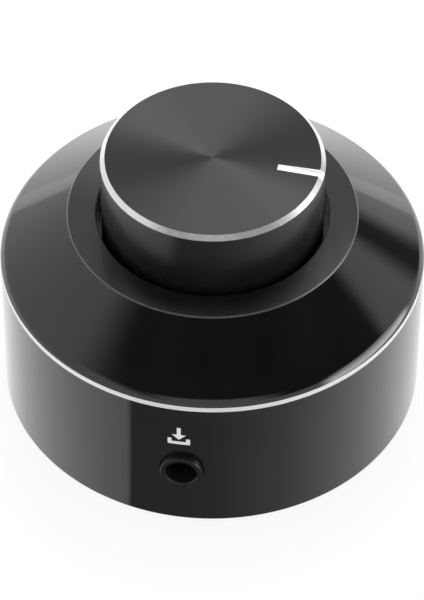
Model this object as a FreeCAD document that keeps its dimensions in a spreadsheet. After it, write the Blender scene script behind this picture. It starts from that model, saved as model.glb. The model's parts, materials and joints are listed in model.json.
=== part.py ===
"""Desktop volume control: a turned aluminium puck with a knob, two 3.5 mm jacks and a dual pot.

Frame: millimetres, +Z up, origin on the table under the knob's axis. The input jack faces -Y and
the output jack +Y. Every size is set once in the "Sizes" sheet. The heights below it are
expressions of those sizes, and every sketch and feature is bound to them.
"""
import FreeCAD, Part
import math
import os
import Sketcher

doc = FreeCAD.newDocument("volume_control")
sheet = doc.addObject("Spreadsheet::Sheet", "Sizes")

SIZES = [
    # housing
    ("body_radius", 25.0, "outer radius of the puck"),
    ("side_height", 19.0, "straight side, from the bottom rim to the bright band"),
    ("band_height", 0.64, "bright-cut band round the top of the side"),
    ("band_lean", 0.04, "how far the upper half of the band leans in"),
    ("shoulder_radius", 2.4, "rounding between the cone and the band"),
    ("shoulder_slope", 66.0, "degrees below level at which the rounding meets the band"),
    ("cone_rise", 6.56, "from the band up to the flat ring"),
    ("ring_radius", 17.05, "outer edge of the flat ring"),
    ("well_radius", 13.6, "well that the knob turns in"),
    ("well_depth", 6.0, "from the flat ring down to the floor of the well"),
    ("deck_thickness", 2.0, "floor of the well, which carries the pot"),
    ("side_wall", 2.5, "wall of the straight side"),
    ("rim_wall", 1.8, "thin rim round the base plate"),
    ("edge_break", 0.15, "small chamfer on turned edges"),
    # base
    ("plate_thickness", 1.5, "base plate"),
    ("plate_recess", 0.7, "base plate sits this far inside the bottom rim"),
    ("plate_clearance", 0.2, "round the base plate"),
    ("foot_radius", 4.0, "rubber foot"),
    ("foot_thickness", 1.2, "rubber foot"),
    ("foot_rounding", 0.3, "lower edge of a foot"),
    ("fixing_inset", 5.5, "feet, screws and standoffs, in from the base plate's edge"),
    ("fixing_count", 4, "feet, screws and standoffs, each"),
    # board and what holds it
    ("spacer_length", 2.5, "between base plate and board"),
    ("spacer_radius", 2.4, "round spacer"),
    ("board_thickness", 1.6, "circuit board"),
    ("board_clearance", 1.0, "between the board's edge and the side wall"),
    ("standoff_flats", 5.0, "hex standoff, across its flats"),
    ("standoff_thread_depth", 7.0, "tapped hole in the standoff's lower end"),
    ("stud_length", 4.5, "threaded stud of the standoff, in the housing"),
    ("screw_radius", 1.25, "base screws and studs"),
    ("screw_grip", 4.5, "base screw's reach into the standoff"),
    ("screw_head_radius", 2.35, "countersunk head"),
    ("screw_socket_flats", 1.5, "hex socket in the screw heads, across its flats"),
    ("screw_socket_depth", 0.9, "hex socket in the screw heads"),
    ("thread_clearance", 0.02, "round a thread in its tapped hole"),
    ("hole_clearance", 0.1, "round a screw, pin or bushing in a plain hole"),
    # jacks
    ("jack_length", 12.1, "jack body, along the plug"),
    ("jack_width", 6.1, "jack body"),
    ("jack_height", 5.0, "jack body"),
    ("jack_panel", 1.6, "housing wall left in front of a jack"),
    ("nose_radius", 2.5, "round nose of the jack"),
    ("nose_proud", 0.75, "nose stands this far out of the side"),
    ("nose_clearance", 0.12, "round the nose in the housing"),
    ("pocket_clearance", 0.3, "round the jack body in the housing wall"),
    ("seat_clearance", 0.05, "between a piece and the seat it is pushed into"),
    ("bore_radius", 1.8, "3.5 mm plug socket"),
    ("bore_depth", 13.9, "3.5 mm plug socket"),
    ("mouth_bevel", 0.15, "bevel at the mouth of the socket"),
    ("spring_reach", 1.62, "contact springs stand this far off the socket's axis"),
    ("spring_thickness", 0.3, "contact springs"),
    ("spring_length", 3.0, "contact springs, along the plug"),
    ("spring_half_height", 0.75, "contact springs, above the socket's axis"),
    ("tip_depth", 10.8, "tip spring, from the mouth"),
    ("ring_depth", 7.0, "ring spring, from the mouth"),
    ("sleeve_depth", 3.2, "sleeve spring, from the mouth"),
    ("pin_width", 0.8, "solder pins"),
    ("pin_reach", 0.8, "solder pins, below the board"),
    # pot, from the deck down
    ("flange_thickness", 1.2, "pot's mounting plate"),
    ("pot_radius", 8.2, "pot's case"),
    ("pot_wall", 0.8, "pot's case"),
    ("track_thickness", 0.8, "carbon track boards"),
    ("track_bore", 3.6, "radius of the hole in the track boards and divider"),
    ("track_tab_width", 8.0, "tab that carries the terminals"),
    ("front_tab_proud", 5.0, "front tab, out from the case"),
    ("rear_tab_proud", 2.4, "rear tab, out from the case"),
    ("terminal_inset", 1.0, "terminals, from the end of the tab"),
    ("terminal_pitch", 2.5, "between terminals"),
    ("terminal_thickness", 0.5, "terminals"),
    ("divider_thickness", 0.8, "wall between the two gangs"),
    ("wiper_thickness", 0.4, "wiper springs"),
    ("wiper_width", 1.4, "wiper springs"),
    ("rotor_thickness", 1.5, "rotors"),
    ("rotor_room", 1.0, "round the rotors in the case"),
    ("running_gap", 0.3, "between turning and fixed pieces"),
    ("shaft_tail", 0.4, "shaft, below the rear rotor"),
    ("pot_travel", 300.0, "degrees of turn between the stops"),
    ("stop_lug_angle", 30.0, "degrees that the stop lug covers"),
    ("stop_margin", 2.5, "degrees between lug and stop at each end"),
    ("rib_depth", 0.5, "stop rib, in from the case's bore"),
    ("index_clearance", 1.5, "degrees round the stop rib in the track boards"),
    ("locator_inset", 1.2, "locating pip, in from the edge of the plate"),
    ("locator_size", 0.6, "radius of the locating pip"),
    ("locator_height", 1.1, "locating pip"),
    # pot, from the deck up
    ("bushing_radius", 3.5, "threaded bushing"),
    ("bushing_rise", 3.9, "bushing, above the floor of the well"),
    ("washer_radius", 6.0, "washer"),
    ("washer_thickness", 0.5, "washer"),
    ("nut_flats", 10.0, "hex nut, across its flats"),
    ("nut_thickness", 2.0, "hex nut"),
    ("shaft_radius", 3.0, "shaft"),
    ("shaft_clearance", 0.03, "round the shaft in the bushing"),
    ("press_clearance", 0.02, "round the shaft in what it carries"),
    ("clip_thickness", 0.6, "clip that keeps the shaft in the bushing"),
    ("clip_radius", 4.1, "clip, outside"),
    ("clip_groove_radius", 2.5, "shaft, at the bottom of the clip's groove"),
    ("clip_mouth", 3.6, "open side of the clip"),
    ("flat_depth", 1.5, "flat on the shaft for the set screw"),
    # knob
    ("knob_gap", 0.6, "round the knob in the well"),
    ("knob_lift", 0.8, "knob, above the floor of the well"),
    ("knob_height", 13.94, "knob"),
    ("knob_bevel_width", 0.53, "bright bevel, across"),
    ("knob_bevel_drop", 0.5, "bright bevel, down"),
    ("knob_top_thickness", 2.4, "knob, over the hub's bore"),
    ("knob_skirt_wall", 1.85, "knob's skirt"),
    ("hub_radius", 6.0, "knob's hub"),
    ("shaft_end_gap", 0.6, "over the end of the shaft"),
    ("set_screw_radius", 1.5, "set screw"),
    ("set_screw_socket", 0.8, "radius of the set screw's hex socket"),
    ("set_screw_access", 1.8, "radius of the screwdriver hole in the skirt"),
    ("pointer_angle", -4.0, "degrees from +X at which the knob rests"),
    ("pointer_start", 7.6, "pointer line, from the axis"),
    ("pointer_inner_width", 0.86, "pointer line, at its inner end"),
    ("pointer_inner_depth", 0.08, "pointer line, at its inner end"),
    ("pointer_rim_width", 1.1, "pointer line, at the rim"),
    ("pointer_rim_depth", 0.48, "pointer line, at the rim"),
]

for row, (alias, number, meaning) in enumerate(SIZES, start=1):
    sheet.set(f"A{row}", alias)
    sheet.set(f"B{row}", str(number))
    sheet.set(f"C{row}", meaning)
    sheet.setAlias(f"B{row}", alias)
doc.recompute()


def size(alias):
    """Expression for one size in the sheet."""
    return f"Sizes.{alias}"


def total(*terms):
    """Expression for the sum of sizes and expressions; a leading minus subtracts one."""
    parts = []
    for term in terms:
        sign = "-" if term.startswith("-") else "+"
        name = term.lstrip("-")
        parts.append(f"{sign} {name if '.' in name or '(' in name else size(name)}")
    return "(0 " + " ".join(parts) + ")"


def value(expression):
    """Number that an expression gives now."""
    return float(sheet.evalExpression(expression))


def half(expression):
    return f"({expression} / 2)"


def minus(expression):
    return f"(0 - {expression})"


# Heights above the table, as expressions.
HOUSING_FOOT = total("foot_thickness", "-plate_recess")
PLATE_UNDER = size("foot_thickness")
PLATE_TOP = total("foot_thickness", "plate_thickness")
BOARD_UNDER = total(PLATE_TOP, "spacer_length")
BOARD_TOP = total(BOARD_UNDER, "board_thickness")
PIN_END = total(BOARD_UNDER, "-pin_reach")
JACK_TOP = total(BOARD_TOP, "jack_height")
JACK_AXIS = total(BOARD_TOP, half(size("jack_height")))
BAND_FOOT = total(HOUSING_FOOT, "side_height")
BAND_MIDDLE = total(BAND_FOOT, half(size("band_height")))
BAND_TOP = total(BAND_FOOT, "band_height")
RING_TOP = total(BAND_TOP, "cone_rise")
WELL_FLOOR = total(RING_TOP, "-well_depth")
DECK_UNDER = total(WELL_FLOOR, "-deck_thickness")

FLANGE_UNDER = total(DECK_UNDER, "-flange_thickness")
FRONT_TRACK_UNDER = total(FLANGE_UNDER, "-track_thickness")
FRONT_WIPER_TOP = total(FRONT_TRACK_UNDER, "-running_gap")
FRONT_ROTOR_TOP = total(FRONT_WIPER_TOP, "-wiper_thickness")
FRONT_ROTOR_UNDER = total(FRONT_ROTOR_TOP, "-rotor_thickness")
DIVIDER_TOP = total(FRONT_ROTOR_UNDER, "-running_gap")
DIVIDER_UNDER = total(DIVIDER_TOP, "-divider_thickness")
REAR_TRACK_UNDER = total(DIVIDER_UNDER, "-track_thickness")
REAR_WIPER_TOP = total(REAR_TRACK_UNDER, "-running_gap")
REAR_ROTOR_TOP = total(REAR_WIPER_TOP, "-wiper_thickness")
REAR_ROTOR_UNDER = total(REAR_ROTOR_TOP, "-rotor_thickness")
SHAFT_END = total(REAR_ROTOR_UNDER, "-shaft_tail")
CASE_FLOOR = total(SHAFT_END, "-running_gap")
CASE_UNDER = total(CASE_FLOOR, "-pot_wall")

BUSHING_TOP = total(WELL_FLOOR, "bushing_rise")
WASHER_TOP = total(WELL_FLOOR, "washer_thickness")
CLIP_UNDER = total(BUSHING_TOP, "running_gap")
CLIP_TOP = total(CLIP_UNDER, "clip_thickness")
HUB_UNDER = total(CLIP_TOP, "running_gap")
KNOB_UNDER = total(WELL_FLOOR, "knob_lift")
KNOB_TOP = total(KNOB_UNDER, "knob_height")
HUB_BORE_TOP = total(KNOB_TOP, "-knob_top_thickness")
SHAFT_TOP = total(HUB_BORE_TOP, "-shaft_end_gap")
SET_SCREW_AXIS = half(total(HUB_UNDER, HUB_BORE_TOP))

# Distances from the knob's axis, as expressions.
CAVITY_RADIUS = total("body_radius", "-side_wall")
REBATE_RADIUS = total("body_radius", "-rim_wall")
PLATE_RADIUS = total(REBATE_RADIUS, "-plate_clearance")
FIXING_RADIUS = total(PLATE_RADIUS, "-fixing_inset")
BOARD_RADIUS = total(CAVITY_RADIUS, "-board_clearance")
BUSHING_HOLE = total("bushing_radius", "hole_clearance")
STUD_HOLE = total("screw_radius", "thread_clearance")
SCREW_HOLE = total("screw_radius", "hole_clearance")
JACK_FACE = total("body_radius", "-jack_panel")
JACK_BACK = total(JACK_FACE, "-jack_length")
NOSE_FACE = total("body_radius", "nose_proud")
POT_BORE = total("pot_radius", "-pot_wall")
TRACK_RADIUS = total(POT_BORE, "-seat_clearance")
ROTOR_RADIUS = total(POT_BORE, "-rotor_room")
LUG_RADIUS = total(POT_BORE, "-running_gap")
RIB_RADIUS = total(POT_BORE, "-rib_depth")
LOCATOR_RADIUS = total("pot_radius", "-locator_inset")
FRONT_TAB = total("pot_radius", "front_tab_proud")
REAR_TAB = total("pot_radius", "rear_tab_proud")
FRONT_TERMINALS = total(FRONT_TAB, "-terminal_inset")
REAR_TERMINALS = total(REAR_TAB, "-terminal_inset")
CARRIED_BORE = total("shaft_radius", "press_clearance")
KNOB_RADIUS = total("well_radius", "-knob_gap")
KNOB_FACE = total(KNOB_RADIUS, "-knob_bevel_width")
SKIRT_BORE = total(KNOB_RADIUS, "-knob_skirt_wall")
SHAFT_FLAT = total("shaft_radius", "-flat_depth")

# Half angles of the pot's stop: rib and lug together fill what the travel leaves of the circle.
LUG_HALF_ANGLE = half(size("stop_lug_angle"))
RIB_HALF_ANGLE = f"(180 - {half(size('pot_travel'))} - {LUG_HALF_ANGLE} - {size('stop_margin')})"
RIB_SLOT_HALF_ANGLE = total(RIB_HALF_ANGLE, "index_clearance")

FIXING_COUNT = int(value(size("fixing_count")))
FIXING_STEP = 360.0 / FIXING_COUNT
SCREW_START = FIXING_STEP / 2


def across_corners(flats):
    """Corner radius of a hexagon with this size across its flats."""
    return f"({flats} / 2 / cos(30))"


# ---- building blocks ------------------------------------------------------------------------

def new_body(label):
    body = doc.addObject("PartDesign::Body", label)
    body.Label = label
    return body


def origin_feature(body, role):
    return next(feature for feature in body.Origin.OriginFeatures if feature.Role == role)


def new_sketch(body, name, plane, offset="0"):
    """Sketch on one of the body's own planes, moved along that plane's normal."""
    sketch = body.newObject("Sketcher::SketchObject", f"{body.Label}_{name}")
    sketch.AttachmentSupport = [(origin_feature(body, plane), "")]
    sketch.MapMode = "FlatFace"
    sketch.setExpression("AttachmentOffset.Base.z", offset)
    return sketch


def bind(sketch, kind, where, expression):
    """Dimension in a sketch, held by an expression."""
    index = sketch.addConstraint(Sketcher.Constraint(kind, *where, value(expression)))
    sketch.setExpression(f"Constraints[{index}]", expression)


def bind_point(sketch, geometry, vertex, x, y):
    """Hold one vertex at (x, y) from the sketch's origin."""
    bind(sketch, "DistanceX", (-1, 1, geometry, vertex), x)
    bind(sketch, "DistanceY", (-1, 1, geometry, vertex), y)


def draw_outline(sketch, points):
    """Closed outline of straight lines through points given as pairs of expressions."""
    places = [FreeCAD.Vector(value(x), value(y), 0) for x, y in points]
    following = places[1:] + places[:1]
    first = sketch.GeometryCount
    for start, end in zip(places, following):
        sketch.addGeometry(Part.LineSegment(start, end))
    for step, (x, y) in enumerate(points):
        line = first + step
        before = first + (step - 1) % len(points)
        sketch.addConstraint(Sketcher.Constraint("Coincident", before, 2, line, 1))
        bind_point(sketch, line, 1, x, y)


def draw_circle(sketch, x, y, radius):
    centre = FreeCAD.Vector(value(x), value(y), 0)
    circle = sketch.addGeometry(Part.Circle(centre, FreeCAD.Vector(0, 0, 1), value(radius)))
    bind(sketch, "Radius", (circle,), radius)
    bind_point(sketch, circle, 3, x, y)


def draw_box(sketch, left, right, low, high):
    draw_outline(sketch, [(left, low), (right, low), (right, high), (left, high)])


def draw_hexagon(sketch, x, y, flats):
    corner = across_corners(flats)
    draw_outline(sketch, [
        (f"({x} + {corner} * cos({turn}))", f"({y} + {corner} * sin({turn}))")
        for turn in range(0, 360, 60)
    ])


def draw_wedge(sketch, inner, outer, middle, half_angle):
    """Four-sided piece of a ring, with its corners on two circles."""
    low = f"({middle} - {half_angle})"
    high = f"({middle} + {half_angle})"
    draw_outline(sketch, [
        (f"({radius} * cos({angle}))", f"({radius} * sin({angle}))")
        for radius, angle in ((inner, low), (outer, low), (outer, high), (inner, high))
    ])


def pad(body, sketch, length):
    feature = body.newObject("PartDesign::Pad", f"{sketch.Name}_pad")
    feature.Profile = (sketch, [""])
    feature.setExpression("Length", length)
    return feature


def pocket(body, sketch, depth, along_normal=False):
    """Pocket of a set depth, against the sketch's normal unless told otherwise."""
    doc.recompute()
    before = body.Shape.Volume
    feature = body.newObject("PartDesign::Pocket", f"{sketch.Name}_pocket")
    feature.Profile = (sketch, [""])
    feature.Reversed = along_normal
    feature.setExpression("Length", depth)
    doc.recompute()
    if not body.Shape.Volume < before:
        raise RuntimeError(f"{feature.Label} cuts nothing")
    return feature


def revolve(body, sketch, axis="V_Axis"):
    feature = body.newObject("PartDesign::Revolution", f"{sketch.Name}_turned")
    feature.Profile = (sketch, [""])
    feature.ReferenceAxis = (sketch, [axis])
    feature.Angle = 360
    return feature


def repeat_round(body, features, count):
    """Copies of features round the body's Z axis."""
    pattern = body.newObject("PartDesign::PolarPattern", f"{features[-1].Name}_round")
    pattern.Originals = features
    pattern.Axis = (origin_feature(body, "Z_Axis"), [""])
    pattern.Angle = 360
    pattern.Occurrences = count
    body.Tip = pattern
    return pattern


def ring_edge_name(shape, radius, along, place):
    """Name of the full circular edge with this radius at this place along an axis."""
    for index, edge in enumerate(shape.Edges, start=1):
        curve = edge.Curve
        if not isinstance(curve, Part.Circle) or not edge.isClosed():
            continue
        if abs(curve.Radius - radius) < 1e-4 and abs(curve.Center.dot(along) - place) < 1e-4:
            return f"Edge{index}"
    raise RuntimeError(f"no circular edge of radius {radius} at {place}")


def chamfer_ring(body, base, radius, along, place, width):
    """Even chamfer on one circular edge of the body."""
    doc.recompute()
    edge = ring_edge_name(base.Shape, value(radius), along, place)
    feature = body.newObject("PartDesign::Chamfer", f"{base.Name}_bevel")
    feature.Base = (base, [edge])
    feature.setExpression("Size", width)
    return feature


def turned(label, outline):
    """Body turned about Z from an outline of (radius, height) points."""
    body = new_body(label)
    sketch = new_sketch(body, "outline", "XZ_Plane")
    draw_outline(sketch, outline)
    revolve(body, sketch)
    return body


def flat_ring(label, inner, outer, under, thickness):
    body = new_body(label)
    sketch = new_sketch(body, "ring", "XY_Plane", under)
    draw_circle(sketch, "0", "0", outer)
    draw_circle(sketch, "0", "0", inner)
    pad(body, sketch, thickness)
    return body


def place_round(body, radius, angle):
    """Stand a body, drawn about its own axis, on the fixing circle."""
    turn = FreeCAD.Rotation(FreeCAD.Vector(0, 0, 1), angle)
    reach = FreeCAD.Vector(value(radius), 0, 0)
    body.Placement = FreeCAD.Placement(turn.multVec(reach), turn)


def turn_body(body, angle):
    body.Placement = FreeCAD.Placement(
        FreeCAD.Vector(), FreeCAD.Rotation(FreeCAD.Vector(0, 0, 1), angle))


# ---- housing and base -----------------------------------------------------------------------

def draw_housing_outline(sketch):
    """Half section of the housing: straight lines, with one arc for the shoulder."""
    break_ = size("edge_break")
    arc_end = (total("body_radius", "-band_lean"), BAND_TOP)
    slope = size("shoulder_slope")
    centre_x = value(f"{arc_end[0]} - {size('shoulder_radius')} * sin({slope})")
    centre_y = value(f"{arc_end[1]} - {size('shoulder_radius')} * cos({slope})")
    cone_top = (size("ring_radius"), total(RING_TOP, minus(break_)))

    # The cone leaves the ring's edge and touches the shoulder's circle.
    reach_x = centre_x - value(cone_top[0])
    reach_y = centre_y - value(cone_top[1])
    radius = value(size("shoulder_radius"))
    to_centre = math.atan2(reach_y, reach_x)
    aside = math.asin(radius / math.hypot(reach_x, reach_y))
    normal = to_centre + aside + math.pi / 2
    touch = FreeCAD.Vector(
        centre_x + radius * math.cos(normal), centre_y + radius * math.sin(normal), 0)
    start_angle = math.radians(90 - value(slope))

    points = [
        arc_end,
        (size("body_radius"), BAND_MIDDLE),
        (size("body_radius"), total(HOUSING_FOOT, break_)),
        (total("body_radius", minus(break_)), HOUSING_FOOT),
        (REBATE_RADIUS, HOUSING_FOOT),
        (REBATE_RADIUS, PLATE_TOP),
        (CAVITY_RADIUS, PLATE_TOP),
        (CAVITY_RADIUS, DECK_UNDER),
        (BUSHING_HOLE, DECK_UNDER),
        (BUSHING_HOLE, WELL_FLOOR),
        (size("well_radius"), WELL_FLOOR),
        (size("well_radius"), total(RING_TOP, minus(break_))),
        (total("well_radius", break_), RING_TOP),
        (total("ring_radius", minus(break_)), RING_TOP),
        cone_top,
    ]
    places = [FreeCAD.Vector(value(x), value(y), 0) for x, y in points]
    for start, end in zip(places, places[1:] + [touch]):
        sketch.addGeometry(Part.LineSegment(start, end))
    circle = Part.Circle(FreeCAD.Vector(centre_x, centre_y, 0), FreeCAD.Vector(0, 0, 1), radius)
    shoulder = sketch.addGeometry(Part.ArcOfCircle(circle, start_angle, normal))
    cone = shoulder - 1

    for line in range(cone):
        sketch.addConstraint(Sketcher.Constraint("Coincident", line, 2, line + 1, 1))
    sketch.addConstraint(Sketcher.Constraint("Tangent", cone, 2, shoulder, 2))
    sketch.addConstraint(Sketcher.Constraint("Coincident", shoulder, 1, 0, 1))
    for line, (x, y) in enumerate(points):
        bind_point(sketch, line, 1, x, y)
    bind(sketch, "Radius", (shoulder,), size("shoulder_radius"))
    arc_reach = f"({size('shoulder_radius')} * sin({slope}))"
    bind(sketch, "DistanceX", (shoulder, 3, shoulder, 1), arc_reach)


def make_housing():
    body = new_body("housing")
    sketch = new_sketch(body, "outline", "XZ_Plane")
    draw_housing_outline(sketch)
    revolve(body, sketch)

    jack_room = new_sketch(body, "jack_room", "XZ_Plane", total(JACK_FACE, "seat_clearance"))
    wide = total(half(size("jack_width")), "pocket_clearance")
    draw_box(jack_room, minus(wide), wide, BOARD_UNDER, total(JACK_TOP, "pocket_clearance"))
    jack_room_depth = total(JACK_FACE, "seat_clearance", minus(half(CAVITY_RADIUS)))
    jack_room_cut = pocket(body, jack_room, jack_room_depth)
    nose_hole = new_sketch(body, "nose_hole", "XZ_Plane", NOSE_FACE)
    draw_circle(nose_hole, "0", JACK_AXIS, total("nose_radius", "nose_clearance"))
    nose_hole_cut = pocket(body, nose_hole, half(NOSE_FACE))
    repeat_round(body, [jack_room_cut, nose_hole_cut], 2)

    stud_hole = new_sketch(body, "stud_hole", "XY_Plane", DECK_UNDER)
    across = f"({FIXING_RADIUS} * cos({SCREW_START}))"
    along = f"({FIXING_RADIUS} * sin({SCREW_START}))"
    draw_circle(stud_hole, across, along, STUD_HOLE)
    stud_hole_cut = pocket(body, stud_hole, total("stud_length", "hole_clearance"), along_normal=True)
    repeat_round(body, [stud_hole_cut], FIXING_COUNT)

    pip_hole = new_sketch(body, "pip_hole", "XY_Plane", DECK_UNDER)
    draw_circle(pip_hole, minus(LOCATOR_RADIUS), "0", total("locator_size", "hole_clearance"))
    pocket(body, pip_hole, total("locator_height", "hole_clearance"), along_normal=True)


def make_base_plate():
    body = new_body("base_plate")
    disc = new_sketch(body, "disc", "XY_Plane", PLATE_UNDER)
    draw_circle(disc, "0", "0", PLATE_RADIUS)
    pad(body, disc, size("plate_thickness"))

    cone = new_sketch(body, "screw_hole", "XZ_Plane")
    axis = FIXING_RADIUS
    head = total("screw_head_radius", "hole_clearance")
    draw_outline(cone, [
        (axis, total(PLATE_UNDER, "-hole_clearance")),
        (total(axis, head), total(PLATE_UNDER, "-hole_clearance")),
        (total(axis, head), PLATE_UNDER),
        (total(axis, SCREW_HOLE), total(PLATE_UNDER, head, minus(SCREW_HOLE))),
        (total(axis, SCREW_HOLE), total(PLATE_TOP, "hole_clearance")),
        (axis, total(PLATE_TOP, "hole_clearance")),
    ])
    doc.recompute()
    before = body.Shape.Volume
    groove = body.newObject("PartDesign::Groove", "base_plate_screw_hole_turned")
    groove.Profile = (cone, [""])
    groove.ReferenceAxis = (cone, ["Edge6"])
    groove.Angle = 360
    doc.recompute()
    if not body.Shape.Volume < before:
        raise RuntimeError("the screw hole cuts nothing")
    repeat_round(body, [groove], FIXING_COUNT)
    turn_body(body, SCREW_START)


def make_base_screws():
    """Countersunk screws, one node of separate solids."""
    body = new_body("base_screws")
    body.AllowCompound = True
    sketch = new_sketch(body, "screw", "XZ_Plane")
    axis = FIXING_RADIUS
    edge = total(axis, "screw_head_radius")
    side = total(axis, "screw_radius")
    neck = total(PLATE_UNDER, "screw_head_radius", "-screw_radius")
    tip = total(BOARD_TOP, "screw_grip")
    draw_outline(sketch, [
        (axis, PLATE_UNDER), (edge, PLATE_UNDER), (side, neck), (side, tip), (axis, tip)])
    screw = revolve(body, sketch, "Edge5")
    socket = new_sketch(body, "socket", "XY_Plane", PLATE_UNDER)
    draw_hexagon(socket, axis, "0", size("screw_socket_flats"))
    socket_cut = pocket(body, socket, size("screw_socket_depth"), along_normal=True)
    repeat_round(body, [screw, socket_cut], FIXING_COUNT)
    turn_body(body, SCREW_START)


def make_foot(label, angle):
    rim = size("foot_radius")
    rounding = size("foot_rounding")
    body = turned(label, [
        ("0", "0"),
        (total(rim, minus(rounding)), "0"),
        (rim, rounding),
        (rim, PLATE_UNDER),
        ("0", PLATE_UNDER),
    ])
    place_round(body, FIXING_RADIUS, angle)


def make_lower_spacer(label, angle):
    body = flat_ring(label, SCREW_HOLE, size("spacer_radius"), PLATE_TOP, size("spacer_length"))
    place_round(body, FIXING_RADIUS, angle)


def make_upper_standoff(label, angle):
    """Hex standoff between board and deck, with a stud up into the housing."""
    body = new_body(label)
    hexagon = new_sketch(body, "hexagon", "XY_Plane", BOARD_TOP)
    draw_hexagon(hexagon, "0", "0", size("standoff_flats"))
    pad(body, hexagon, total(DECK_UNDER, minus(BOARD_TOP)))
    stud = new_sketch(body, "stud", "XY_Plane", DECK_UNDER)
    draw_circle(stud, "0", "0", size("screw_radius"))
    pad(body, stud, size("stud_length"))
    thread = new_sketch(body, "thread", "XY_Plane", BOARD_TOP)
    draw_circle(thread, "0", "0", STUD_HOLE)
    pocket(body, thread, size("standoff_thread_depth"), along_normal=True)
    place_round(body, FIXING_RADIUS, angle)


def contact_places():
    """Name, distance from the mouth and side of the three springs of a jack."""
    return (("tip_spring", "tip_depth", ""), ("ring_spring", "ring_depth", "-"),
            ("sleeve_spring", "sleeve_depth", ""))


def contact_span(side, inner, outer):
    """Left and right edge of something that stands on one side of the socket's axis."""
    if side:
        return inner, outer
    return minus(outer), minus(inner)


def make_circuit_board():
    body = new_body("circuit_board")
    disc = new_sketch(body, "disc", "XY_Plane", BOARD_UNDER)
    draw_circle(disc, "0", "0", BOARD_RADIUS)
    pad(body, disc, size("board_thickness"))

    screw_hole = new_sketch(body, "screw_hole", "XY_Plane", BOARD_TOP)
    across = f"({FIXING_RADIUS} * cos({SCREW_START}))"
    along = f"({FIXING_RADIUS} * sin({SCREW_START}))"
    draw_circle(screw_hole, across, along, SCREW_HOLE)
    screw_hole_cut = pocket(body, screw_hole, size("board_thickness"))
    repeat_round(body, [screw_hole_cut], FIXING_COUNT)

    jack_holes = new_sketch(body, "jack_holes", "XY_Plane", BOARD_TOP)
    pin_offset = total("spring_reach", half(size("spring_thickness")))
    pin_hole = total(half(size("pin_width")), "hole_clearance")
    for _, depth, side in contact_places():
        x = pin_offset if side else minus(pin_offset)
        y = total(depth, half(size("spring_length")), minus(NOSE_FACE))
        draw_circle(jack_holes, x, y, pin_hole)
    jack_holes_cut = pocket(body, jack_holes, size("board_thickness"))
    repeat_round(body, [jack_holes_cut], 2)

    pot_holes = new_sketch(body, "pot_holes", "XY_Plane", BOARD_TOP)
    for row in (FRONT_TERMINALS, REAR_TERMINALS):
        for step in (-1, 0, 1):
            draw_circle(pot_holes, row, f"({step} * {size('terminal_pitch')})", pin_hole)
    pocket(body, pot_holes, size("board_thickness"))


# ---- jacks ----------------------------------------------------------------------------------

def make_jack(prefix, turn):
    """Board-mounted 3.5 mm jack with its three contact springs, drawn facing -Y."""
    body = new_body(f"{prefix}_jack_body")
    wide = half(size("jack_width"))
    block = new_sketch(body, "block", "XZ_Plane", JACK_BACK)
    draw_box(block, minus(wide), wide, BOARD_TOP, JACK_TOP)
    pad(body, block, size("jack_length"))
    nose = new_sketch(body, "nose", "XZ_Plane", JACK_FACE)
    draw_circle(nose, "0", JACK_AXIS, size("nose_radius"))
    pad(body, nose, total(NOSE_FACE, minus(JACK_FACE)))
    bore = new_sketch(body, "bore", "XZ_Plane", NOSE_FACE)
    draw_circle(bore, "0", JACK_AXIS, size("bore_radius"))
    pocket(body, bore, size("bore_depth"))

    outward = FreeCAD.Vector(0, -1, 0)
    mouth = value(NOSE_FACE)
    rim = chamfer_ring(body, body.Tip, size("nose_radius"), outward, mouth, size("edge_break"))
    chamfer_ring(body, rim, size("bore_radius"), outward, mouth, size("mouth_bevel"))

    back = total("spring_reach", "spring_thickness", "seat_clearance")
    front = total("spring_reach", "-seat_clearance")
    leaf_top = total(JACK_AXIS, "spring_half_height")
    for name, depth, side in contact_places():
        front_end = total(NOSE_FACE, minus(size(depth)), "seat_clearance")
        slot = new_sketch(body, f"{name}_slot", "XZ_Plane", front_end)
        left, right = contact_span(side, front, back)
        draw_box(slot, left, right, total(BOARD_TOP, "-seat_clearance"), total(leaf_top, "seat_clearance"))
        pocket(body, slot, total("spring_length", "seat_clearance", "seat_clearance"))
    turn_body(body, turn)

    for name, depth, side in contact_places():
        spring = new_body(f"{prefix}_jack_{name}")
        left, right = contact_span(side, size("spring_reach"), total("spring_reach", "spring_thickness"))
        far = total(NOSE_FACE, minus(size(depth)), "-spring_length")
        leaf = new_sketch(spring, "leaf", "XZ_Plane", far)
        draw_box(leaf, left, right, BOARD_TOP, leaf_top)
        pad(spring, leaf, size("spring_length"))
        middle = total(far, half(size("spring_length")))
        pin = new_sketch(spring, "pin", "XZ_Plane", total(middle, minus(half(size("pin_width")))))
        draw_box(pin, left, right, PIN_END, BOARD_TOP)
        pad(spring, pin, size("pin_width"))
        turn_body(spring, turn)


# ---- potentiometer, fixed side --------------------------------------------------------------

def make_pot_mounting_plate():
    """Flange under the deck with the threaded bushing and a locating pip."""
    body = turned("pot_mounting_plate", [
        (total("shaft_radius", "shaft_clearance"), FLANGE_UNDER),
        (size("pot_radius"), FLANGE_UNDER),
        (size("pot_radius"), DECK_UNDER),
        (size("bushing_radius"), DECK_UNDER),
        (size("bushing_radius"), BUSHING_TOP),
        (total("shaft_radius", "shaft_clearance"), BUSHING_TOP),
    ])
    pip = new_sketch(body, "pip", "XY_Plane", DECK_UNDER)
    draw_circle(pip, minus(LOCATOR_RADIUS), "0", size("locator_size"))
    pad(body, pip, size("locator_height"))


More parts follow.
